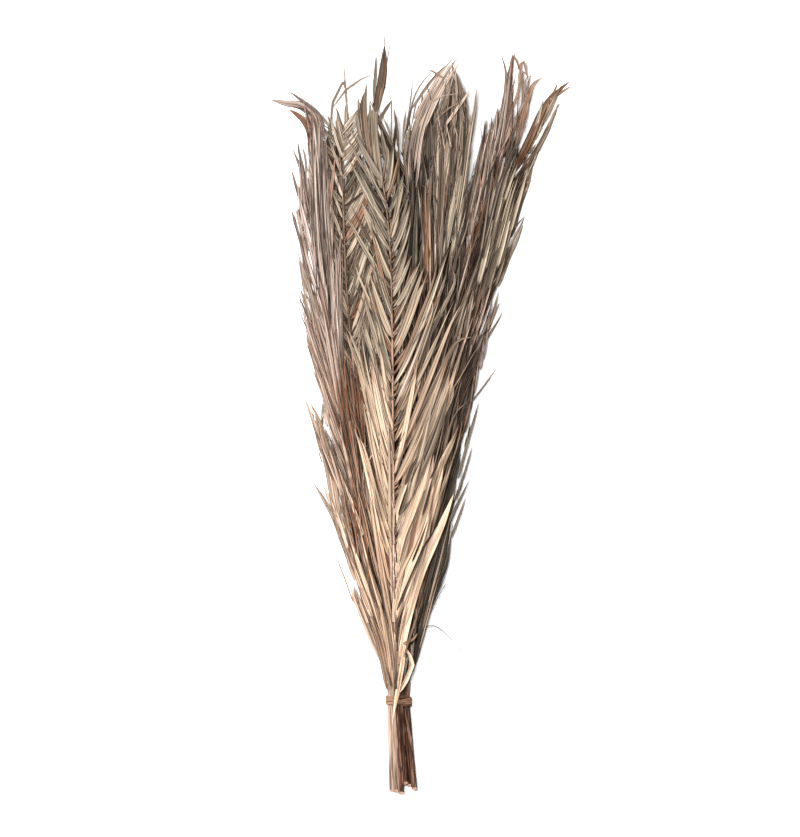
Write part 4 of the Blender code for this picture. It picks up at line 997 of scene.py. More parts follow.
def piece(name, rings, starts, ends, facts, materials, used=0):
    """Mesh object of closed tubes.

    rings is tubes x stations x corners x 3, clockwise as seen along the tube. starts and ends are the
    closing points. facts holds the point attributes as (type, rings' values, starts' values, ends').
    used is the place of the tubes' own material in the list.
    """
    tubes, stations, corners, _ = rings.shape
    per = stations * corners + 2
    points = np.concatenate([starts[:, None], rings.reshape(tubes, -1, 3), ends[:, None]], 1)
    ring, corner = np.meshgrid(np.arange(stations - 1), np.arange(corners), indexing="ij")
    here = 1 + ring * corners + corner
    beside = 1 + ring * corners + (corner + 1) % corners
    quads = np.stack([here, beside, beside + corners, here + corners], -1).reshape(-1, 4)
    first = np.arange(corners)
    last = 1 + (stations - 1) * corners
    fans = np.concatenate([
        np.stack([np.zeros(corners, int), 1 + (first + 1) % corners, 1 + first], -1),
        np.stack([np.full(corners, per - 1), last + first, last + (first + 1) % corners], -1),
    ])
    offsets = (np.arange(tubes) * per)[:, None, None]
    faces = (quads + offsets).reshape(-1, 4).tolist() + (fans + offsets).reshape(-1, 3).tolist()
    mesh = bpy.data.meshes.new(name)
    mesh.from_pydata(points.reshape(-1, 3).tolist(), [], faces)
    for key, (kind, on_rings, on_starts, on_ends) in facts.items():
        field = "color" if kind == "FLOAT_COLOR" else "vector"
        width = on_rings.shape[-1]
        on_rings = on_rings.reshape(tubes, -1, width)
        values = np.concatenate([on_starts[:, None], on_rings, on_ends[:, None]], 1).astype(np.float32)
        mesh.attributes.new(key, kind, "POINT").data.foreach_set(field, values.ravel())
    for finish in materials:
        mesh.materials.append(finish)
    mesh.polygons.foreach_set("material_index", np.full(len(faces), used, np.int32))
    mesh.polygons.foreach_set("use_smooth", np.ones(len(faces), bool))
    mesh.update()
    mesh.set_sharp_from_angle(angle=SHARP_ANGLE)
    made = bpy.data.objects.new(name, mesh)
    bpy.context.scene.collection.objects.link(made)
    return made


def tube_facts(pigment, place, grain, on_starts=None, corner=0):
    """Point attributes of tubes, whose closing points take those of a corner beside them, or given ones."""
    facts = {}
    for key, values in (("pigment", pigment), ("place", place), ("grain", grain)):
        kind = "FLOAT_COLOR" if key == "pigment" else "FLOAT_VECTOR"
        start = (on_starts or {}).get(key, values[:, 0, corner])
        facts[key] = (kind, values, start, values[:, -1, corner])
    return facts


def frames(leaf, spine):
    """(right, up) across each spine, laid on the slope of the leaf's layer."""
    along = np.gradient(spine, axis=1)
    plan = unit(along[..., :2])
    reach = np.stack([plan[..., 1], -plan[..., 0]], -1)
    ahead, back = spine[..., :2] + reach * SLOPE_REACH, spine[..., :2] - reach * SLOPE_REACH
    climb = leaf.height(ahead[..., 0], ahead[..., 1]) - leaf.height(back[..., 0], back[..., 1])
    right = np.concatenate([reach, (climb / (2 * SLOPE_REACH))[..., None]], -1)
    along = unit(along)
    right = unit(right - along * (right * along).sum(-1, keepdims=True))
    return right, np.cross(right, along)


def spine_of(leaf, rows, thickness):
    """Middle line of each blade in space, kept between the floor and the top of the pile."""
    tilt = np.abs(np.sin(np.minimum(np.abs(rows["fold"]) + np.abs(rows["roll"]), math.pi / 2)))
    extent = rows["half"] * tilt + thickness
    plan = rows["plan"]
    z = leaf.height(plan[..., 0], plan[..., 1]) + rows["lift"]
    z = np.minimum(np.maximum(z, extent + LEAST_CLEARANCE), HIGHEST - extent)
    return np.concatenate([plan, z[..., None]], -1)


def blade_rings(leaf, blades, thickness):
    """Rings of folded blades along their middle lines, with their closing points."""
    spine, half, fold, roll = (blades[key] for key in ("spine", "half", "fold", "roll"))
    right, up = frames(leaf, spine)
    c, s = np.cos(roll)[..., None], np.sin(roll)[..., None]
    right, up = right * c + up * s, up * c - right * s
    across = RING_ACROSS * (half * np.cos(fold))[..., None]
    rise = np.abs(RING_ACROSS) * (half * np.sin(fold))[..., None]
    thickness = thickness * np.clip(half / FULL_THICKNESS_HALF, THINNEST, 1.0)
    rise = rise + RING_FACE * thickness[..., None] / 2
    rings = (
        spine[:, :, None]
        + across[..., None] * right[:, :, None]
        + rise[..., None] * up[:, :, None]
    )
    along = np.diff(spine, axis=1)
    return rings, spine[:, 0] - along[:, 0] * ROOT_POINT, spine[:, -1] + along[:, -1] * TIP_POINT


class DepthMap:
    """How deep points lie under the top of the pile, from the blades' middle lines, for the painted shade of
    the deep blades.
    """

    CELL = 0.004
    SIZE = (120, 300)
    CORNER = (-0.2, -0.15)
    BETWEEN_STATIONS = (0, 0.33, 0.66)
    SHADE_FROM = 0.0014
    SHADE_FADE = 0.0120

    def __init__(self, spines):
        self.top = np.zeros(self.SIZE)
        for spine in spines:
            steps = spine[:, 1:] - spine[:, :-1]
            fine = np.concatenate([spine[:, :-1] + steps * share for share in self.BETWEEN_STATIONS])
            np.maximum.at(self.top, self.cells(fine), fine[..., 2])
        near = [np.roll(self.top, (i, j), (0, 1)) for i in (-1, 0, 1) for j in (-1, 0, 1)]
        self.top = np.mean(near, axis=0)

    def cells(self, spine):
        """Column and row of the cell that each point lies in."""
        return tuple(
            np.clip(((spine[..., i] - self.CORNER[i]) / self.CELL).astype(int), 0, self.SIZE[i] - 1)
            for i in (0, 1))

    def shade(self, spine):
        """Painted shade: 0 at the top of the pile, rising to 1 deep in it."""
        return onset(self.top[self.cells(spine)] - spine[..., 2], self.SHADE_FROM, self.SHADE_FADE)


def blade_facts(blades, tint, offsets):
    """Point attributes of blades: pigment, place, smoothness and lightness, and grain coordinates."""
    half = blades["half"]
    shape = (*half.shape, len(RING_ACROSS))
    place = np.empty((*shape, 3))
    place[..., 0] = RING_ACROSS
    place[..., 1] = blades["smooth"][:, None, None]
    place[..., 2] = tint[:, :, None]
    grain = np.empty((*shape, 3))
    grain[..., 0] = RING_ACROSS * half[..., None] + offsets[:, None, None]
    grain[..., 1] = ALONG[None, :, None] * blades["length"][:, None, None]
    grain[..., 2] = offsets[:, None, None] * GRAIN_SHIFT
    pigment = np.repeat(blades["pigment"][:, :, None], len(RING_ACROSS), 2)
    return tube_facts(pigment, place, grain, corner=len(RING_ACROSS) // 4)


def drawn_to(plan, targets):
    """Draws the nearest leaflet tips out to the targets, bending each leaflet smoothly."""
    taken = []
    for target in targets:
        gaps = np.linalg.norm(plan[:, -1] - np.array(target), axis=1)
        gaps[taken] = np.inf
        nearest = int(np.argmin(gaps))
        taken.append(nearest)
        plan[nearest] += (np.array(target) - plan[nearest, -1]) * (ALONG ** DRAWN_BEND)[:, None]
    return plan, taken


def held_in(plan, slack, inset):
    """Bends leaflets back inside the outline, less the slack of each and the inset low on the right."""
    bend = np.maximum(ALONG, LEAST_BEND) ** HELD_BEND
    y = plan[..., 1]
    slack = slack[:, None] * np.clip(y / FULL_SLACK_FROM, LEAST_SLACK, 1.0)
    low = inset * onset(y, *INSET_IN) * (1 - onset(y, *INSET_OUT))
    left = np.interp(y, OUTLINE[:, 0], OUTLINE[:, 1]) + slack
    right = np.interp(y, OUTLINE[:, 0], OUTLINE[:, 2]) - slack - low
    past_left, past_right = (
        np.max(np.maximum(past, 0.0)[:, FREE_STATIONS:] / bend[FREE_STATIONS:], axis=1)
        for past in (left - plan[..., 0], plan[..., 0] - right))
    plan[..., 0] += (past_left - past_right)[:, None] * bend
    return plan


def inside(points, corners):
    """Which of the plan points lie inside a closed outline."""
    x, y = points[..., 0], points[..., 1]
    found = np.zeros(x.shape, bool)
    for (x1, y1), (x2, y2) in zip(corners, (*corners[1:], corners[0])):
        if y1 != y2:
            found ^= ((y1 > y) != (y2 > y)) & (x < x1 + (y - y1) * (x2 - x1) / (y2 - y1))
    return found


def kept_out(plan):
    """Shortens the blades that reach into a bare place, and gives the share of each that is kept."""
    bare = np.zeros(plan.shape[:2], bool)
    for corners in BARE:
        bare |= inside(plan, corners)
    first = np.where(bare.any(1), np.maximum(bare.argmax(1) - 1, FREE_STATIONS), STATIONS - 1)
    at = first[:, None] * ALONG
    low = np.minimum(at.astype(int), STATIONS - 2)
    rest = (at - low)[..., None]
    row = np.arange(len(plan))[:, None]
    return plan[row, low] * (1 - rest) + plan[row, low + 1] * rest, first / (STATIONS - 1)


def row_members(leaf, draw):
    """Side and share of the way up the rib of each leaflet, and which are slivers and bracts."""
    leaflets = sum(leaf.counts)
    slivers = int(leaflets * SLIVERS)
    bracts = int(leaflets * BRACTS) if leaf.top else 0
    count = leaflets + slivers + bracts
    number = np.arange(count)
    on_left = number < leaf.counts[0]
    side = np.where(on_left | ((number >= leaflets) & (number % 2 == 0)), -1.0, 1.0)
    sliver = (number >= leaflets) & (number < leaflets + slivers)
    bract = number >= leaflets + slivers
    side = np.where(bract & (draw.random(count) < BRACTS_ON_RIGHT), 1.0, side)
    place = np.where(on_left, number / leaf.counts[0], (number - leaf.counts[0]) / leaf.counts[1])
    share = np.clip(place + draw.uniform(0.0, 1.0, count) / min(leaf.counts), 0.0, 1.0)
    share = share ** leaf.looks.get("spacing", SPACING)
    return side, np.where(sliver | bract, draw.random(count), share), sliver, bract


def row_openings(leaf, draw, side, angle, length):
    """Angle from the rib along each leaflet, with its bow, its waves and the hook of its tip."""
    count = len(side)
    root_turn = np.radians(np.where(side < 0, *ROOT_TURNS)) * (1 - leaf.looks["cover"])
    opening = (
        angle[:, None] * (1 - CLOSING * ALONG)
        + root_turn[:, None] * np.maximum(0.0, 1 - ALONG * length[:, None] / ROOT_LENGTH)
        + draw.normal(0.0, BOW, count)[:, None] * ALONG ** 2
        + draw.normal(0.0, WAVE, count)[:, None] * np.sin(ALONG * draw.uniform(*WAVE_PACES, count)[:, None])
    )
    hook = draw.normal(0.0, HOOK, count)
    hook = hook + (draw.random(count) < STRONG_HOOKS) * draw.normal(0.0, STRONG_HOOK, count)
    return opening + hook[:, None] * onset(ALONG, *HOOK_PLACE)


def row_plans(leaf, draw, side, start, opening, length, bract):
    """Plan line of each leaflet from its root on the rib, drawn together at the leaf's apex."""
    count = len(side)
    roots, ahead = leaf.route.at(start)
    heading = np.arctan2(ahead[:, 1], ahead[:, 0])[:, None] - side[:, None] * opening
    steps = np.stack([np.cos(heading), np.sin(heading)], -1) * (length / (STATIONS - 1))[:, None, None]
    beside = np.stack([ahead[:, 1], -ahead[:, 0]], -1) * np.where(side < 0, *ROOT_SHIFTS)[:, None]
    roots = roots + beside * (1 - leaf.looks["cover"]) * ~bract[:, None]
    plan = roots[:, None] + np.cumsum(np.concatenate([np.zeros((count, 1, 2)), steps[:, :-1]], 1), 1)
    if "apex" in leaf.looks:
        x, y, strength = leaf.looks["apex"]
        pull = strength * onset(plan[:, -1, 1] - y, *APEX_ALONG)
        pull = pull * (1 - onset(np.abs(plan[:, -1, 0] - x), *APEX_BESIDE))
        plan[..., 0] += (pull * (x - plan[:, -1, 0]))[:, None] * ALONG ** 2
        past = np.maximum(plan[:, -1, 1] - y, 0.0) * draw.uniform(*APEX_HOLDS, count)
        plan[..., 1] -= past[:, None] * ALONG
    return plan


def row_lifts(leaf, draw, plan, sliver):
    """Height of each leaflet over its layer, and its rank among its neighbours, low to high."""
    count = len(plan)
    room = pitch_at(plan[..., 1]) * ROW_ROOM
    rank = draw.uniform(-RANKS, RANKS, count)
    level = rank[:, None] + TIP_RISE * ALONG - 0.5 + ROW_LEVELS[leaf.top]
    lift = level * room * OFF_ROOT + CROSSING_LIFT * leaf.looks["cover"]
    lift = lift + draw.uniform(0.0, ARCH, count)[:, None] * np.sin(np.pi * ALONG)
    return lift + SLIVER_LIFTS[leaf.top] * sliver[:, None] * OFF_ROOT, rank


def row_sections(leaf, draw, side, width, low, sliver, settings):
    """Half width, fold and roll along each leaflet."""
    count = len(side)
    half = np.maximum(width[:, None] / 2 * np.interp(ALONG, *LEAFLET_PROFILE), LEAST_HALF)
    few = leaf.top & (side > 0)
    closed = draw.random(count) < np.where(sliver, CLOSED_SLIVERS, np.where(few, CLOSED_AT_TOP, CLOSED))
    fold = np.where(
        closed, draw.uniform(*CLOSED_FOLDS, count), draw.normal(settings.crease, CREASE_SPREAD, count))
    fold = fold * np.where(draw.random(count) < TURNED_OVER, -1.0, 1.0)
    flat = 1 - BROAD_FLATNESS * np.minimum(low, 1.0)
    fold = fold[:, None] * (1 + ROOT_FOLD * np.maximum(0.0, 1 - ALONG / ROOT_RAMP))
    fold = fold * (1 - TIP_UNFOLD * ALONG) * flat[:, None]
    roll = (draw.normal(ROLL, settings.roll, count) * flat)[:, None] * OFF_ROOT
    roll = roll + draw.normal(0.0, TIP_ROLL, count)[:, None] * ALONG ** 2
    return half, np.clip(fold, -STEEPEST, STEEPEST), roll


def leaflet_rows(leaf, settings):
    """The two rows of leaflets, the slivers among them and the bracts as a dict of arrays."""
    draw = np.random.default_rng(leaf.seed)
    side, share, sliver, bract = row_members(leaf, draw)
    count, leaflets = len(side), sum(leaf.counts)
    first = np.where((side > 0) & ~bract, leaf.looks.get("right_first", leaf.first), leaf.first)
    start = first + (leaf.route.length * LAST_ROOT - first) * share
    angle = np.where(side < 0, *(bowed(habit, share) for habit in leaf.habit))
    crossing = draw.random(count) < leaf.looks["cover"]
    stray = np.where(crossing, draw.uniform(*CROSSING_ANGLES, count), draw.uniform(*ROW_ANGLES, count))
    angle = np.radians(angle) * np.where(bract, BRACT_ANGLE, stray)
    angle = angle + draw.normal(0.0, settings.spread, count) * np.where(sliver, SLIVER_SPREAD, 1.0)
    length = bowed(leaf.reach, share) * draw.uniform(*LENGTHS, count)
    high = onset(share, np.where(side < 0, *HIGH_FROM), HIGH_FADE)
    length = length * between((1.0, np.where(side < 0, *leaf.looks.get("high", (1.0, 1.0)))), high)
    width = bowed(leaf.width, share) * draw.uniform(*WIDTHS, count)
    low = np.where(side > 0, 1 - eased(share * LOW_PACE), 0.0) * (leaf.looks.get("broad", 1.0) - 1)
    width = width * (1 + low)
    length = np.where(bract, draw.uniform(*BRACT_LENGTHS, count), length)
    width = np.where(sliver, draw.uniform(*SLIVER_WIDTHS, count), np.where(bract, BRACT_WIDTH, width))
    opening = row_openings(leaf, draw, side, angle, length)
    plan = row_plans(leaf, draw, side, start, opening, length, bract)
    plan = held_in(plan, draw.uniform(*SLACKS, count), leaf.looks.get("inset", 0.0))
    plan, kept = kept_out(plan)
    length, width = length * kept, width * np.sqrt(kept)
    plan[:leaflets], drawn = drawn_to(plan[:leaflets], REACHES.get(leaf.name, ()))
    width[drawn] *= DRAWN_WIDTH
    lift, rank = row_lifts(leaf, draw, plan, sliver)
    half, fold, roll = row_sections(leaf, draw, side, width, low, sliver, settings)
    rows = {"length": length, "plan": plan, "lift": lift, "half": half, "fold": fold, "roll": roll}
    rows["pigment"], rows["tint"] = row_pigments(leaf, draw, plan, sliver, bract, rank, low)
    rows["smooth"] = np.clip(low * BROAD_SMOOTHNESS, 0.0, 1.0)
    return rows


def row_pigments(leaf, draw, plan, sliver, bract, rank, low):
    """Shares of peach, blush, rust and shade along each leaflet, and each leaflet's lightness with painted
    shade on the low ones.
    """
    count = len(plan)
    up = share_up(plan[..., 1])
    looks = leaf.looks
    warm = between(looks["warm"], eased(up * WARM_PACE - WARM_LAG))
    warm = warm + draw.normal(0.0, WARM_SPREAD, count)[:, None]
    blush = between(looks["blush"], up) + draw.normal(0.0, BLUSH_SPREAD, count)[:, None]
    middle = up[:, STATIONS // 2]
    rusty = draw.random(count) < between(looks["rust"], middle) + RUSTY_SLIVERS * sliver
    rust = (rusty | bract)[:, None] * draw.uniform(*RUST_SHARES, count)[:, None]
    dry = draw.uniform(*DRY_SHARES, count)[:, None]
    dry_tip = dry * onset(ALONG, draw.uniform(*DRY_FROM, count)[:, None], DRY_FADE)
    shaded = draw.random(count) < between(looks["shade"], middle)
    shaded = shaded | (sliver & (draw.random(count) < DARK_SLIVERS))
    shade = np.where(shaded, draw.uniform(*DARK_SHARES, count), draw.uniform(*LIGHT_SHARES, count))[:, None]
    # Painted shade at the root of each leaflet, where it meets the rib
    shade = shade + DARK_ROOT * np.maximum(0.0, 1 - ALONG / DARK_ROOT_LENGTH)
    shade = shade + bract[:, None] * BRACT_SHADE
    pigment = np.stack([warm, blush, np.maximum(rust, dry_tip), shade], -1)
    contrast = looks.get("contrast", 1.0)
    tint = draw.normal(1.0, TINT_SPREAD * contrast, count)
    # Painted shade: leaflets ranked low in their row are darkened as if shaded by their neighbours
    sunk = contrast * np.clip(SUNK_UNDER - rank, 0.0, 1.0)
    tint = tint * (1 - SUNK_SHADE * sunk * (1 - np.minimum(low, BROAD_LIGHTNESS)))
    return np.clip(pigment, 0.0, 1.0), np.clip(tint, *TINTS)


def loose_lines(leaf, draw):
    """Plan line, width, lift, whether of a sheaf, colour shares and rank of each loose blade."""
    for width, rust, shade, lift, points, *kinked in STRAYS[leaf.name]:
        route = Route(points, bool(kinked))
        up = share_up(points[0][1])
        colours = (between(leaf.looks["warm"], up), between(leaf.looks["blush"], up), rust, shade)
        yield route.at(ALONG * route.length)[0], width, lift, False, colours, 1.0
    for count, width, warm, blush, rust, shade, lift, cover, lean, near, far in SHEAVES[leaf.name]:
        near, far = Route(near), Route(far)
        for share in (np.arange(count) + draw.uniform(0.0, 1.0, count)) / count:
            reach = min(cover * draw.uniform(*SHEAF_LENGTHS), 1.0)
            along = draw.uniform(0.0, 1.0 - reach) + reach * ALONG
            across = share - lean * (ALONG - 0.5) + draw.normal(0.0, SHEAF_BOW) * ALONG ** 2
            inner, outer = (route.at(along * route.length)[0] for route in (near, far))
            colours = np.array((warm, blush, rust, shade)) * draw.uniform(*SHEAF_COLOURS, 4)
            plan = inner + (outer - inner) * across[:, None]
            rank = draw.uniform(0.0, 1.0)
            high = lift - SHEAF_BELOW + SHEAF_DEPTH * rank
            yield plan, width * draw.uniform(*SHEAF_WIDTHS), high, True, np.clip(colours, 0.0, 1.0), rank


def loose_rows(leaf):
    """The stray blades and sheaves of a leaf as a dict of arrays."""
    draw = np.random.default_rng(leaf.seed + LOOSE_SEED)
    plan, width, lift, sheaf, colours, rank = (
        np.array(values) for values in zip(*loose_lines(leaf, draw)))
    count = len(plan)
    width, lift, sheaf = width[:, None], lift[:, None], sheaf[:, None]
    short, kept = kept_out(plan)
    plan = np.where(sheaf[..., None], short, plan)
    width = np.where(sheaf, width * np.sqrt(kept)[:, None], width)
    body = np.where(sheaf, np.interp(ALONG, *SHEAF_PROFILE), np.interp(ALONG, *STRAY_PROFILE))
    half = np.maximum(width / 2 * body, np.where(sheaf, LEAST_SHEAF_HALF, LEAST_STRAY_HALF))
    closed = sheaf & (draw.random(count)[:, None] < CLOSED_LOOSE)
    closed_folds, folds = draw.uniform(*CLOSED_LOOSE_FOLDS, count), draw.uniform(*LOOSE_FOLDS, count)
    fold = np.where(closed, closed_folds[:, None], folds[:, None])
    tint = draw.normal(LOOSE_TINT, LOOSE_TINT_SPREAD, count) - STRAY_SHADE * ~sheaf[:, 0]
    tint = np.clip(tint, *LOOSE_TINTS)
    contrast = min(leaf.looks.get("contrast", 1.0), 1.0)
    # Painted shade: the lower blades of a sheaf are darkened as if shaded by those over them
    tint *= 1 - LOW_SHEAF_SHADE * contrast ** 2 * (1 - rank) ** LOW_SHEAF_FADE
    wide = np.clip((2 * half.max(1) - SMOOTH_FROM) / SMOOTH_FADE, 0.0, 1.0)
    return {
        "length": np.linalg.norm(np.diff(plan, axis=1), axis=2).sum(1),
        "plan": plan,
        "lift": np.where(sheaf, lift * np.minimum(ALONG / SHEAF_RAMP, 1.0), lift),
        "half": half,
        "fold": np.repeat(fold, STATIONS, 1),
        "roll": draw.normal(0.0, LOOSE_ROLL, count)[:, None] * between(LOOSE_ROLL_SHARES, ALONG),
        "pigment": np.repeat(colours[:, None], STATIONS, 1),
        "tint": tint,
        "smooth": wide * (plan[:, 0, 1] < SMOOTH_BELOW),
    }


def rib_line(leaf):
    """(points, radii) of the stem and rib from the cut end to the tip."""
    end = np.array((
        leaf.seat[0] * STEM_PITCH * STEM_FLARE + STEM_SWAY,
        -leaf.stem,
        leaf.seat_z + ROW_RISE * leaf.seat[1] * (STEM_FLARE - 1),
    ))
    seat = np.array((leaf.seat_x, -STRAIGHT_IN_TIE, leaf.seat_z))
    share = np.linspace(0.0, 1.0, STEM_STATIONS)[:, None]
    stem = end + (seat - end) * share
    distance = np.linspace(0.0, leaf.route.length, RIB_STATIONS)
    plan, _ = leaf.route.at(distance)
    rib = np.column_stack([plan, leaf.height(plan[:, 0], plan[:, 1])])
    thin = np.interp(distance / leaf.route.length, *RIB_RADII)
    return np.vstack([stem, rib]), np.concatenate([np.full(len(stem), RIB_RADII[1][0]), thin])


def rib_tube(leaf):
    """Rings, closing points and attributes of the rib with its cut stem."""
    draw = np.random.default_rng(leaf.seed + RIB_SEED)
    spine, radii = rib_line(leaf)
    share = np.arange(RIB_CORNERS) / RIB_CORNERS
    turn = -math.pi / 2 - 2 * math.pi * np.arange(RIB_CORNERS) / RIB_CORNERS
    along = unit(np.gradient(spine, axis=0))
    right = unit(np.stack([along[:, 1], -along[:, 0], np.zeros(len(along))], -1))
    up = np.cross(right, along)
    distance = lengths_along(spine)
    lumps = between(LUMPS, leaf.looks["stem_dark"])
    waves = sum(
        size * np.cos(count * turn[None] + phase + distance[:, None] * pace)
        for (size, count, pace), phase in zip(LUMP_WAVES, draw.uniform(0, LUMP_PHASES, 4)))
    ring = radii[:, None] * (1 + lumps * waves - LUMP_INSET * lumps)
    rings = (
        spine[:, None]
        + (np.cos(turn) * ring)[..., None] * right[:, None]
        + (np.sin(turn) * ring)[..., None] * up[:, None]
    )
    rings[0] += np.array((0.0, CUT_SLANT, 0.0)) * (np.sin(turn) + 1)[:, None] * radii[0]
    middle = spine[:1] + (0.0, CUT_SLANT * radii[0], 0.0)
    rim = middle + (rings[0] - middle) * CUT_RIM
    rings = np.concatenate([rim[None], rings])[None]
    radii = np.concatenate([radii[:1], radii])
    distance = np.concatenate([[0.0], distance])
    shape = rings.shape[:-1]
    place = np.zeros((*shape, 3))
    # Height round the ring, which sets the painted shade on the underside
    place[..., 0] = np.sin(turn)
    place[..., 1] = distance[None, :, None]
    place[0, 0, :, 2] = 1.0
    grain = np.zeros((*shape, 3))
    grain[..., 0] = (share * 2 * math.pi) * radii[:, None] + leaf.seed
    grain[..., 1] = distance[None, :, None]
    grain[..., 2] = leaf.seed
    pigment = np.zeros((*shape, 4))
    dark = np.full(RIB_CORNERS, leaf.looks["stem_dark"])
    if leaf.top:
        dark = onset(np.cos(turn), *TOP_STEM_DARK)
    past_stem = distance - leaf.stem
    pigment[..., 0] = dark * (1 - onset(past_stem, *STEM_COLOUR_ENDS))[:, None]
    pigment[..., 1] = onset(past_stem, *RIB_COLOUR_BEGINS)[:, None]
    pigment[..., 2] = between(leaf.looks["shade"], 0.5)
    pigment[..., 3] = 1.0
    facts = tube_facts(pigment, place, grain, {"place": np.array([[0.0, 0.0, 1.0]])})
    return rings, middle, spine[-1:] + along[-1:] * RIB_TIP, facts


class Nodes:
    """Short calls that add and link the nodes of one material."""

    def __init__(self, name):
        self.material = bpy.data.materials.new(name)
        self.material.use_nodes = True
        self.tree = self.material.node_tree
        self.shader = self.tree.nodes["Principled BSDF"]

    def add(self, kind, inputs=None, **settings):
        node = self.tree.nodes.new(kind)
        for key, value in settings.items():
            setattr(node, key, value)
        for key, value in (inputs or {}).items():
            self.feed(node, key, value)
        return node

    def feed(self, node, key, value):
        socket = node.inputs[key]
        if isinstance(value, bpy.types.NodeSocket):
            self.tree.links.new(value, socket)
        elif hasattr(value, "__len__") and len(value) == 3 and len(socket.default_value) == 4:
            socket.default_value = (*value, 1.0)
        else:
            socket.default_value = value

    def fact(self, name):
        """Outputs of a point attribute of the piece."""
        return self.add("ShaderNodeAttribute", attribute_name=name).outputs

    def parts(self, vector):
        return self.add("ShaderNodeSeparateXYZ", {0: vector}).outputs

    def shares(self, pigment):
        return self.add("ShaderNodeSeparateColor", {0: pigment}).outputs

    def math(self, operation, a, b=0.0, clamp=False):
        made = self.add("ShaderNodeMath", {0: a, 1: b}, operation=operation, use_clamp=clamp)
        return made.outputs[0]

    def times(self, a, b, clamp=False):
        return self.math("MULTIPLY", a, b, clamp)

    def from_middle(self, noise):
        """How far a noise is from its middle value, which it crosses along thin lines."""
        return self.math("ABSOLUTE", self.math("SUBTRACT", noise, 0.5))

    def ranged(self, value, low, high, to_low=0.0, to_high=1.0, smooth=True):
        made = self.add(
            "ShaderNodeMapRange",
            {"Value": value, "From Min": low, "From Max": high, "To Min": to_low, "To Max": to_high},
            interpolation_type="SMOOTHSTEP" if smooth else "LINEAR")
        return made.outputs[0]

    def mix(self, share, a, b, blend="MIX"):
        made = self.add("ShaderNodeMix", data_type="RGBA", blend_type=blend)
        self.feed(made, 0, share)
        self.feed(made, 6, a)
        self.feed(made, 7, b)
        return made.outputs[2]

    def noise(self, grain, stretch, detail):
        """Noise that many times finer than a metre across the grain, along it and between blades."""
        place = self.add("ShaderNodeVectorMath", {0: grain, 1: stretch}, operation="MULTIPLY").outputs[0]
        inputs = {"Vector": place, "Scale": 1.0, "Detail": detail, "Roughness": NOISE_ROUGHNESS}
        return self.add("ShaderNodeTexNoise", inputs).outputs["Fac"]

    def channels(self, red, green, blue):
        """Colour of those three values."""
        return self.add("ShaderNodeCombineColor", {"Red": red, "Green": green, "Blue": blue}).outputs[0]

    def warm_grey(self, value, warmth):
        """Grey of that value whose darks turn red brown with the warmth."""
        green = self.math("POWER", value, self.ranged(warmth, 0.0, 1.0, 1.03, 1.16, False))
        blue = self.math("POWER", value, self.ranged(warmth, 0.0, 1.0, 1.06, 1.32, False))
        return self.channels(value, green, blue)

    def finish(self, colour, roughness, relief, specular, relief_height, strength):
        """Feeds the shader, and gives the finished material."""
        self.feed(self.shader, "Base Color", colour)
        self.feed(self.shader, "Roughness", roughness)
        self.shader.inputs["Specular IOR Level"].default_value = specular
        bump = self.add(
            "ShaderNodeBump", {"Height": relief, "Distance": relief_height, "Strength": strength})
        self.tree.links.new(bump.outputs[0], self.shader.inputs["Normal"])
        return self.material


def leaflet_finish(settings):
    """Dried leaflet: its colour by pigment, fine lengthwise veins, dry tips, and painted shade in the crease
    and along the edges.
    """
    n = Nodes("dried_leaflet")
    pigment = n.fact("pigment")
    shares = n.shares(pigment["Color"])
    place = n.parts(n.fact("place")["Vector"])
    grain = n.fact("grain")["Vector"]
    veins = n.noise(grain, (2600.0, 9.0, 1.0), 2.0)
    streaks = n.noise(grain, (620.0, 14.0, 1.0), 3.0)
    blotches = n.noise(grain, (150.0, 34.0, 1.0), 3.0)
    specks = n.noise(grain, (900.0, 260.0, 1.0), 2.0)
    splits = n.from_middle(n.noise(grain, (210.0, 2.5, 1.0), 0.0))
    across = n.math("ABSOLUTE", place["X"])
    colour = n.mix(shares["Red"], settings.olive, settings.peach)
    colour = n.mix(n.times(shares["Green"], 0.9), colour, settings.blush)
    wither = n.times(n.ranged(blotches, 0.30, 0.62, 0.65, 1.0), shares["Blue"], clamp=True)
    colour = n.mix(wither, colour, settings.rust)
    dark = n.times(n.ranged(streaks, 0.25, 0.70, 1.0, 0.72), pigment["Alpha"], clamp=True)
    colour = n.mix(dark, colour, settings.shade)
    value = n.times(place["Z"], n.ranged(veins, 0.30, 0.70, 0.88, 1.18))
    value = n.times(value, n.ranged(streaks, 0.30, 0.70, 0.66, 1.16))
    value = n.times(value, n.ranged(blotches, 0.25, 0.75, 0.90, 1.08))
    # Painted shade: dark lines in the crease and along the edges where blades shade each other, fewer on the
    # smooth broad blades
    crease = n.ranged(across, 0.03, 0.18, 0.40, 1.0)
    edge_shadow = n.ranged(across, 0.70, 0.94, 1.0, 0.12)
    lines = n.times(crease, edge_shadow)
    value = n.times(value, n.math("MAXIMUM", lines, n.times(place["Y"], 0.93)))
    value = n.times(value, n.ranged(splits, 0.010, 0.040, 0.38, 1.0))
    value = n.times(value, n.ranged(specks, 0.66, 0.74, 1.0, 0.70))
    colour = n.mix(1.0, colour, n.warm_grey(value, shares["Red"]), "MULTIPLY")
    roughness = n.ranged(streaks, 0.2, 0.8, 0.52, 0.78)
    relief = n.math("ADD", n.times(veins, 0.5), n.times(streaks, 0.9))
    return n.finish(colour, roughness, relief, specular=0.10, relief_height=0.0006, strength=0.7)


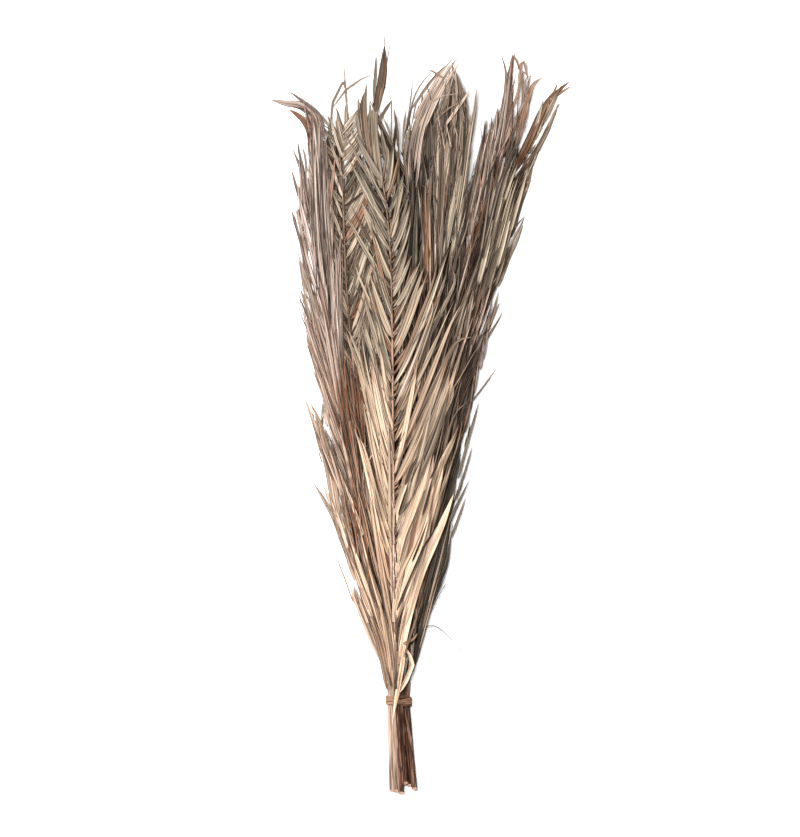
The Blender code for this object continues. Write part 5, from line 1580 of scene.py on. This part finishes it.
def stem_finish(settings):
    """Rib and stem: fibrous, from dark or cream stem to pink tan rib, with a pale cut end and painted shade
    on the underside.
    """
    n = Nodes("rib_and_stem")
    shares = n.shares(n.fact("pigment")["Color"])
    place = n.parts(n.fact("place")["Vector"])
    grain = n.fact("grain")["Vector"]
    fibres = n.noise(grain, (1500.0, 22.0, 1.0), 3.0)
    streaks = n.noise(grain, (420.0, 30.0, 1.0), 3.0)
    blotches = n.noise(grain, (300.0, 16.0, 1.0), 4.0)
    cracks = n.from_middle(n.noise(grain, (300.0, 5.0, 1.0), 1.0))
    pith = n.noise(grain, (5200.0, 5200.0, 900.0), 2.0)
    colour = n.mix(shares["Red"], settings.pale_stem, settings.dark_stem)
    rib = n.mix(n.ranged(place["Y"], 0.30, 0.52), settings.low_rib, settings.rib)
    colour = n.mix(shares["Green"], colour, rib)
    worn = n.times(n.ranged(streaks, 0.48, 0.60), n.ranged(shares["Red"], 0.0, 1.0, 0.12, 0.80))
    colour = n.mix(worn, colour, settings.worn_stem)
    near_end = n.ranged(place["Y"], 0.02, 0.11, 1.0, 0.35)
    stained = n.times(n.ranged(blotches, 0.44, 0.56, 0.0, 0.85), near_end)
    colour = n.mix(stained, colour, settings.stain)
    value = n.times(n.ranged(fibres, 0.28, 0.72, 0.55, 1.16), n.ranged(streaks, 0.3, 0.7, 0.70, 1.12))
    value = n.times(value, n.ranged(cracks, 0.012, 0.050, 0.36, 1.0))
    # Painted shade: the rib and stem darken towards their underside
    value = n.times(value, n.ranged(place["X"], 0.10, 0.62, 0.22, 1.0))
    colour = n.mix(1.0, colour, n.channels(value, value, value), "MULTIPLY")
    cut = n.mix(n.ranged(pith, 0.52, 0.70), settings.cut_end, settings.pith_specks)
    colour = n.mix(place["Z"], colour, cut)
    roughness = n.ranged(fibres, 0.2, 0.8, 0.55, 0.85)
    relief = n.math("ADD", fibres, streaks)
    return n.finish(colour, roughness, relief, specular=0.12, relief_height=0.0008, strength=0.8)


def twine_finish(settings):
    """Palm fibre of the tie: brown strands with painted shade in the hollows between them."""
    n = Nodes("palm_fibre")
    place = n.parts(n.fact("place")["Vector"])
    grain = n.fact("grain")["Vector"]
    fibres = n.noise(grain, (2400.0, 60.0, 1.0), 3.0)
    tufts = n.noise(grain, (500.0, 90.0, 1.0), 3.0)
    # Painted shade: the fibre darkens from lit brown to dark in the hollows between strands
    lit = n.times(n.ranged(fibres, 0.34, 0.66), n.ranged(tufts, 0.25, 0.65, 0.35, 1.0), clamp=True)
    colour = n.mix(lit, settings.dark, settings.brown)
    colour = n.mix(n.times(place["Z"], 0.6), colour, settings.pale)
    roughness = n.ranged(fibres, 0.2, 0.8, 0.6, 0.9)
    relief = n.math("ADD", fibres, tufts)
    return n.finish(colour, roughness, relief, specular=0.12, relief_height=0.0007, strength=0.9)


def joined(parts):
    """One mesh object from several, the first of which keeps its name."""
    bpy.ops.object.select_all(action="DESELECT")
    for part in parts:
        part.select_set(True)
    bpy.context.view_layer.objects.active = parts[0]
    if bpy.ops.object.join() != {"FINISHED"}:
        raise RuntimeError(f"{parts[0].name} could not be joined")
    return parts[0]


def blades_of(leaf, settings):
    """All blades of a leaf as a dict of arrays, with their middle lines and colours."""
    rows, loose = leaflet_rows(leaf, settings), loose_rows(leaf)
    blades = {key: np.concatenate([rows[key], loose[key]]) for key in rows}
    blades["spine"] = spine_of(leaf, blades, settings.thickness)
    return blades


def build_leaf(leaf, blades, depths, finishes, settings):
    """One leaf piece: rib and stem, the two rows of leaflets and the stray blades."""
    offsets = np.random.default_rng(leaf.seed + GRAIN_SEED).uniform(0.0, GRAIN_SPREAD, len(blades["tint"]))
    sunk = settings.painted_depth_shade * leaf.looks.get("sunk", 1.0)
    # bright sets each leaf's lightness along the bunch; above 1 it is partly painted light that lifts leaves
    # lying in the shade of those over them
    bright = between(leaf.looks.get("bright", (1.0, 1.0)), share_up(blades["plan"][..., 1]))
    # Painted shade: blades deep in the pile are darkened by the depth map
    tint = blades["tint"][:, None] * bright * (1 - sunk * depths.shade(blades["spine"]))
    facts = blade_facts(blades, tint, offsets)
    made = piece(leaf.name, *blade_rings(leaf, blades, settings.thickness), facts, finishes)
    rib = piece(leaf.name + "_rib", *rib_tube(leaf), finishes, used=1)
    made = joined([made, rib])
    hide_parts(CAD_NODES[leaf.name])
    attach(made, "root")
    return made


def tie_loop(clearance):
    """Taut line round the corner stems as closed (x, z) points, clockwise from the lower left."""
    places = [Vector((u * STEM_PITCH, LOW_ROW + row * ROW_RISE)) for u, row in TIE_CORNERS]
    loop = []
    for i, centre in enumerate(places):
        before = centre - places[i - 1]
        after = places[(i + 1) % len(places)] - centre
        start = math.atan2(before.x, -before.y)
        turn = before.angle_signed(after)
        for step in range(BEND_STEPS + 1):
            angle = start - turn * step / BEND_STEPS
            loop.append(centre + clearance * Vector((math.cos(angle), math.sin(angle))))
    return np.array(loop + loop[:1])


class Winding:
    """The line round the stems that the strand and its loose fibres follow."""

    def __init__(self, clearance):
        self.loop = tie_loop(clearance)
        self.outward = (tie_loop(clearance + OUTWARD_STEP) - self.loop) / OUTWARD_STEP
        self.lengths = lengths_along(self.loop)

    def at(self, turns):
        """Distances of those turns, with their (x, z) points and outward directions."""
        distance = turns * self.lengths[-1]
        around = np.mod(distance, self.lengths[-1])
        place, out = (read_at(around, self.lengths, values) for values in (self.loop, self.outward))
        return distance, place, unit(out)


def strand(winding, finish, start, stop, y, lift, half, corners, offset, pale):
    """Tube of fibre from one turn of the winding to another, at those places along the stems."""
    stations = len(y)
    half_wide, half_high = half
    t = np.linspace(0.0, 1.0, stations)
    distance, place, out = winding.at(start + (stop - start) * t)
    spine = np.stack([place[:, 0] + out[:, 0] * lift, y, place[:, 1] + out[:, 1] * lift], -1)
    outs = np.stack([out[:, 0], np.zeros(stations), out[:, 1]], -1)
    turn = math.pi - 2 * math.pi * np.arange(corners) / corners
    side = np.array((0.0, -1.0, 0.0))
    ends = np.clip(np.minimum(t, 1 - t) * stations / STRAND_TAPER, LEAST_STRAND, 1.0)
    knobs = 1 + KNOBS * np.cos(turn * KNOBS_ROUND + distance[:, None] * KNOBS_ALONG)
    rings = (
        spine[:, None]
        + (np.cos(turn) * half_wide * ends[:, None] * knobs)[..., None] * side
        + (np.sin(turn) * half_high * ends[:, None])[..., None] * outs[:, None]
    )
    shape = (1, stations, corners)
    place_fact = np.zeros((*shape, 3))
    on_left = PALE_LEFT * eased(-spine[:, 0] / PALE_LEFT_FADE)
    place_fact[..., 2] = np.maximum(pale, on_left)[None, :, None]
    grain = np.zeros((*shape, 3))
    grain[..., 0] = np.sin(turn / 2) * half_wide * 3 + distance[:, None] * STRAND_TWIST + offset
    grain[..., 1] = distance[None, :, None]
    grain[..., 2] = offset
    along = np.diff(spine, axis=0) * STRAND_POINT
    facts = tube_facts(np.zeros((*shape, 4)), place_fact, grain)
    return piece("fibre_tie", rings[None], spine[:1] - along[:1], spine[-1:] + along[-1:], facts, [finish])


def build_tie(settings):
    """The tie: a strand of fibre wound round the stems, with loose fibres along it."""
    finish = twine_finish(settings)
    half_thick = TIE_THICKNESS / 2
    winding = Winding(STEM_RADIUS + TOUCH_GAP + half_thick)
    draw = np.random.default_rng(TIE_SEED)
    turns, width = settings.turns, settings.strand_width
    reach = width * TURN_SPACING * turns

    def pitch(t):
        return (t - 0.5) * reach + WANDER * np.sin(t * WANDER_PACE)

    half = (width / 2, half_thick * STRAND_HEIGHT)
    y = pitch(np.linspace(0.0, 1.0, STRAND_STATIONS))
    parts = [strand(winding, finish, TIE_START, TIE_START + turns, y, 0.0, half, STRAND_CORNERS, 0.0, 0.0)]
    t = np.linspace(0.0, 1.0, FIBRE_STATIONS)
    for _ in range(settings.fibres):
        start = draw.uniform(TIE_START, TIE_START + turns - LAST_FIBRE)
        span = draw.uniform(*FIBRE_SPANS)
        shift = draw.uniform(-FIBRE_SHIFT, FIBRE_SHIFT) * width
        sway = draw.uniform(-FIBRE_SWAY, FIBRE_SWAY) * width
        y = pitch((start - TIE_START) / turns + t * span / turns) + shift + sway * (t - 0.5)
        y = np.clip(y, -TIE_EDGE, TIE_EDGE)
        parts.append(strand(
            winding, finish, start, start + span, y, half_thick * FIBRE_LIFT, FIBRE_HALF, FIBRE_CORNERS,
            draw.uniform(*FIBRE_GRAIN), draw.uniform(0.0, 1.0)))
    made = joined(parts)
    made.name = "fibre_tie"
    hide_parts("tie")
    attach(made, "root")
    return made


class BUNCH_OT_leaves(bpy.types.Operator):
    """Build the seven leaves in their layers, over the frame's leaves"""

    bl_idname = "palm_bunch.leaves"
    bl_label = "Build Leaves"

    def execute(self, context):
        settings = context.scene.palm_leaves
        finishes = [leaflet_finish(settings), stem_finish(settings)]
        blades = [blades_of(leaf, settings) for leaf in LEAVES]
        depths = DepthMap([each["spine"] for each in blades])
        for leaf, each in zip(LEAVES, blades):
            build_leaf(leaf, each, depths, finishes, settings)
        return {"FINISHED"}


class BUNCH_OT_tie(bpy.types.Operator):
    """Wind the fibre tie round the stems"""

    bl_idname = "palm_bunch.tie"
    bl_label = "Build Tie"

    def execute(self, context):
        build_tie(context.scene.palm_tie)
        return {"FINISHED"}


def area_light(name, place, size, power):
    """Round soft light aimed at the bunch."""
    light = bpy.data.lights.new(name, "AREA")
    light.shape = "DISK"
    light.size = size
    light.energy = power
    made = bpy.data.objects.new(name, light)
    made.location = place
    made.rotation_euler = (Vector(LIGHTS_AIM) - Vector(place)).to_track_quat("-Z", "Y").to_euler()
    bpy.context.scene.collection.objects.link(made)


class BUNCH_OT_stage(bpy.types.Operator):
    """Lay the pale floor and set the soft lights and the camera that looks down on the bunch"""

    bl_idname = "palm_bunch.stage"
    bl_label = "Build Stage"

    def execute(self, context):
        scene, settings = context.scene, context.scene.palm_stage
        mesh = bpy.data.meshes.new("floor")
        corners = [(x * FLOOR_REACH, y * FLOOR_REACH, 0) for x, y in ((-1, -1), (1, -1), (1, 1), (-1, 1))]
        mesh.from_pydata(corners, [], [(0, 1, 2, 3)])
        floor = bpy.data.objects.new("floor", mesh)
        scene.collection.objects.link(floor)
        n = Nodes("pale_floor")
        n.shader.inputs["Base Color"].default_value = (*settings.floor, 1.0)
        n.shader.inputs["Roughness"].default_value = 0.9
        mesh.materials.append(n.material)
        floor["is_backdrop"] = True
        area_light("key_light", KEY_PLACE, KEY_SIZE, settings.key)
        area_light("side_light", SIDE_PLACE, SIDE_SIZE, settings.side)
        world = bpy.data.worlds.new("soft_sky")
        world.use_nodes = True
        sky = world.node_tree.nodes["Background"]
        sky.inputs["Color"].default_value = (1.0, 1.0, 1.0, 1.0)
        sky.inputs["Strength"].default_value = settings.sky
        scene.world = world
        data = bpy.data.cameras.new("camera")
        data.sensor_width = SENSOR
        data.lens = SENSOR * settings.distance / settings.view_height
        data.clip_end = VIEW_REACH
        camera = bpy.data.objects.new("camera", data)
        camera.location = (*VIEW_CENTRE, settings.distance)
        scene.collection.objects.link(camera)
        scene.camera = camera
        scene.view_settings.view_transform = "Standard"
        return {"FINISHED"}


class BUNCH_PT_panel(bpy.types.Panel):
    """Settings and builders of the palm leaf bunch"""

    bl_idname = "BUNCH_PT_panel"
    bl_label = "Palm Leaf Bunch"
    bl_space_type = "VIEW_3D"
    bl_region_type = "UI"
    bl_category = "Palm Bunch"

    def draw(self, context):
        for group, operator in (
            (context.scene.palm_leaves, "palm_bunch.leaves"),
            (context.scene.palm_tie, "palm_bunch.tie"),
            (context.scene.palm_stage, "palm_bunch.stage"),
        ):
            box = self.layout.box()
            for key in group.__annotations__:
                box.prop(group, key)
            box.operator(operator)


CLASSES = (
    LeafSettings, TieSettings, StageSettings, BUNCH_OT_leaves, BUNCH_OT_tie, BUNCH_OT_stage, BUNCH_PT_panel,
)


def register():
    for cls in CLASSES:
        bpy.utils.register_class(cls)
    bpy.types.Scene.palm_leaves = PointerProperty(type=LeafSettings)
    bpy.types.Scene.palm_tie = PointerProperty(type=TieSettings)
    bpy.types.Scene.palm_stage = PointerProperty(type=StageSettings)


def unregister():
    del bpy.types.Scene.palm_stage
    del bpy.types.Scene.palm_tie
    del bpy.types.Scene.palm_leaves
    for cls in reversed(CLASSES):
        bpy.utils.unregister_class(cls)


def main():
    register()
    bpy.ops.palm_bunch.leaves()
    bpy.ops.palm_bunch.tie()
    bpy.ops.palm_bunch.stage()
    boxes = {"cad": CAD_BOX, "visual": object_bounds()}
    {key: [list(corner) for corner in box] for key, box in boxes.items()}


if __name__ == "__main__":
    main()
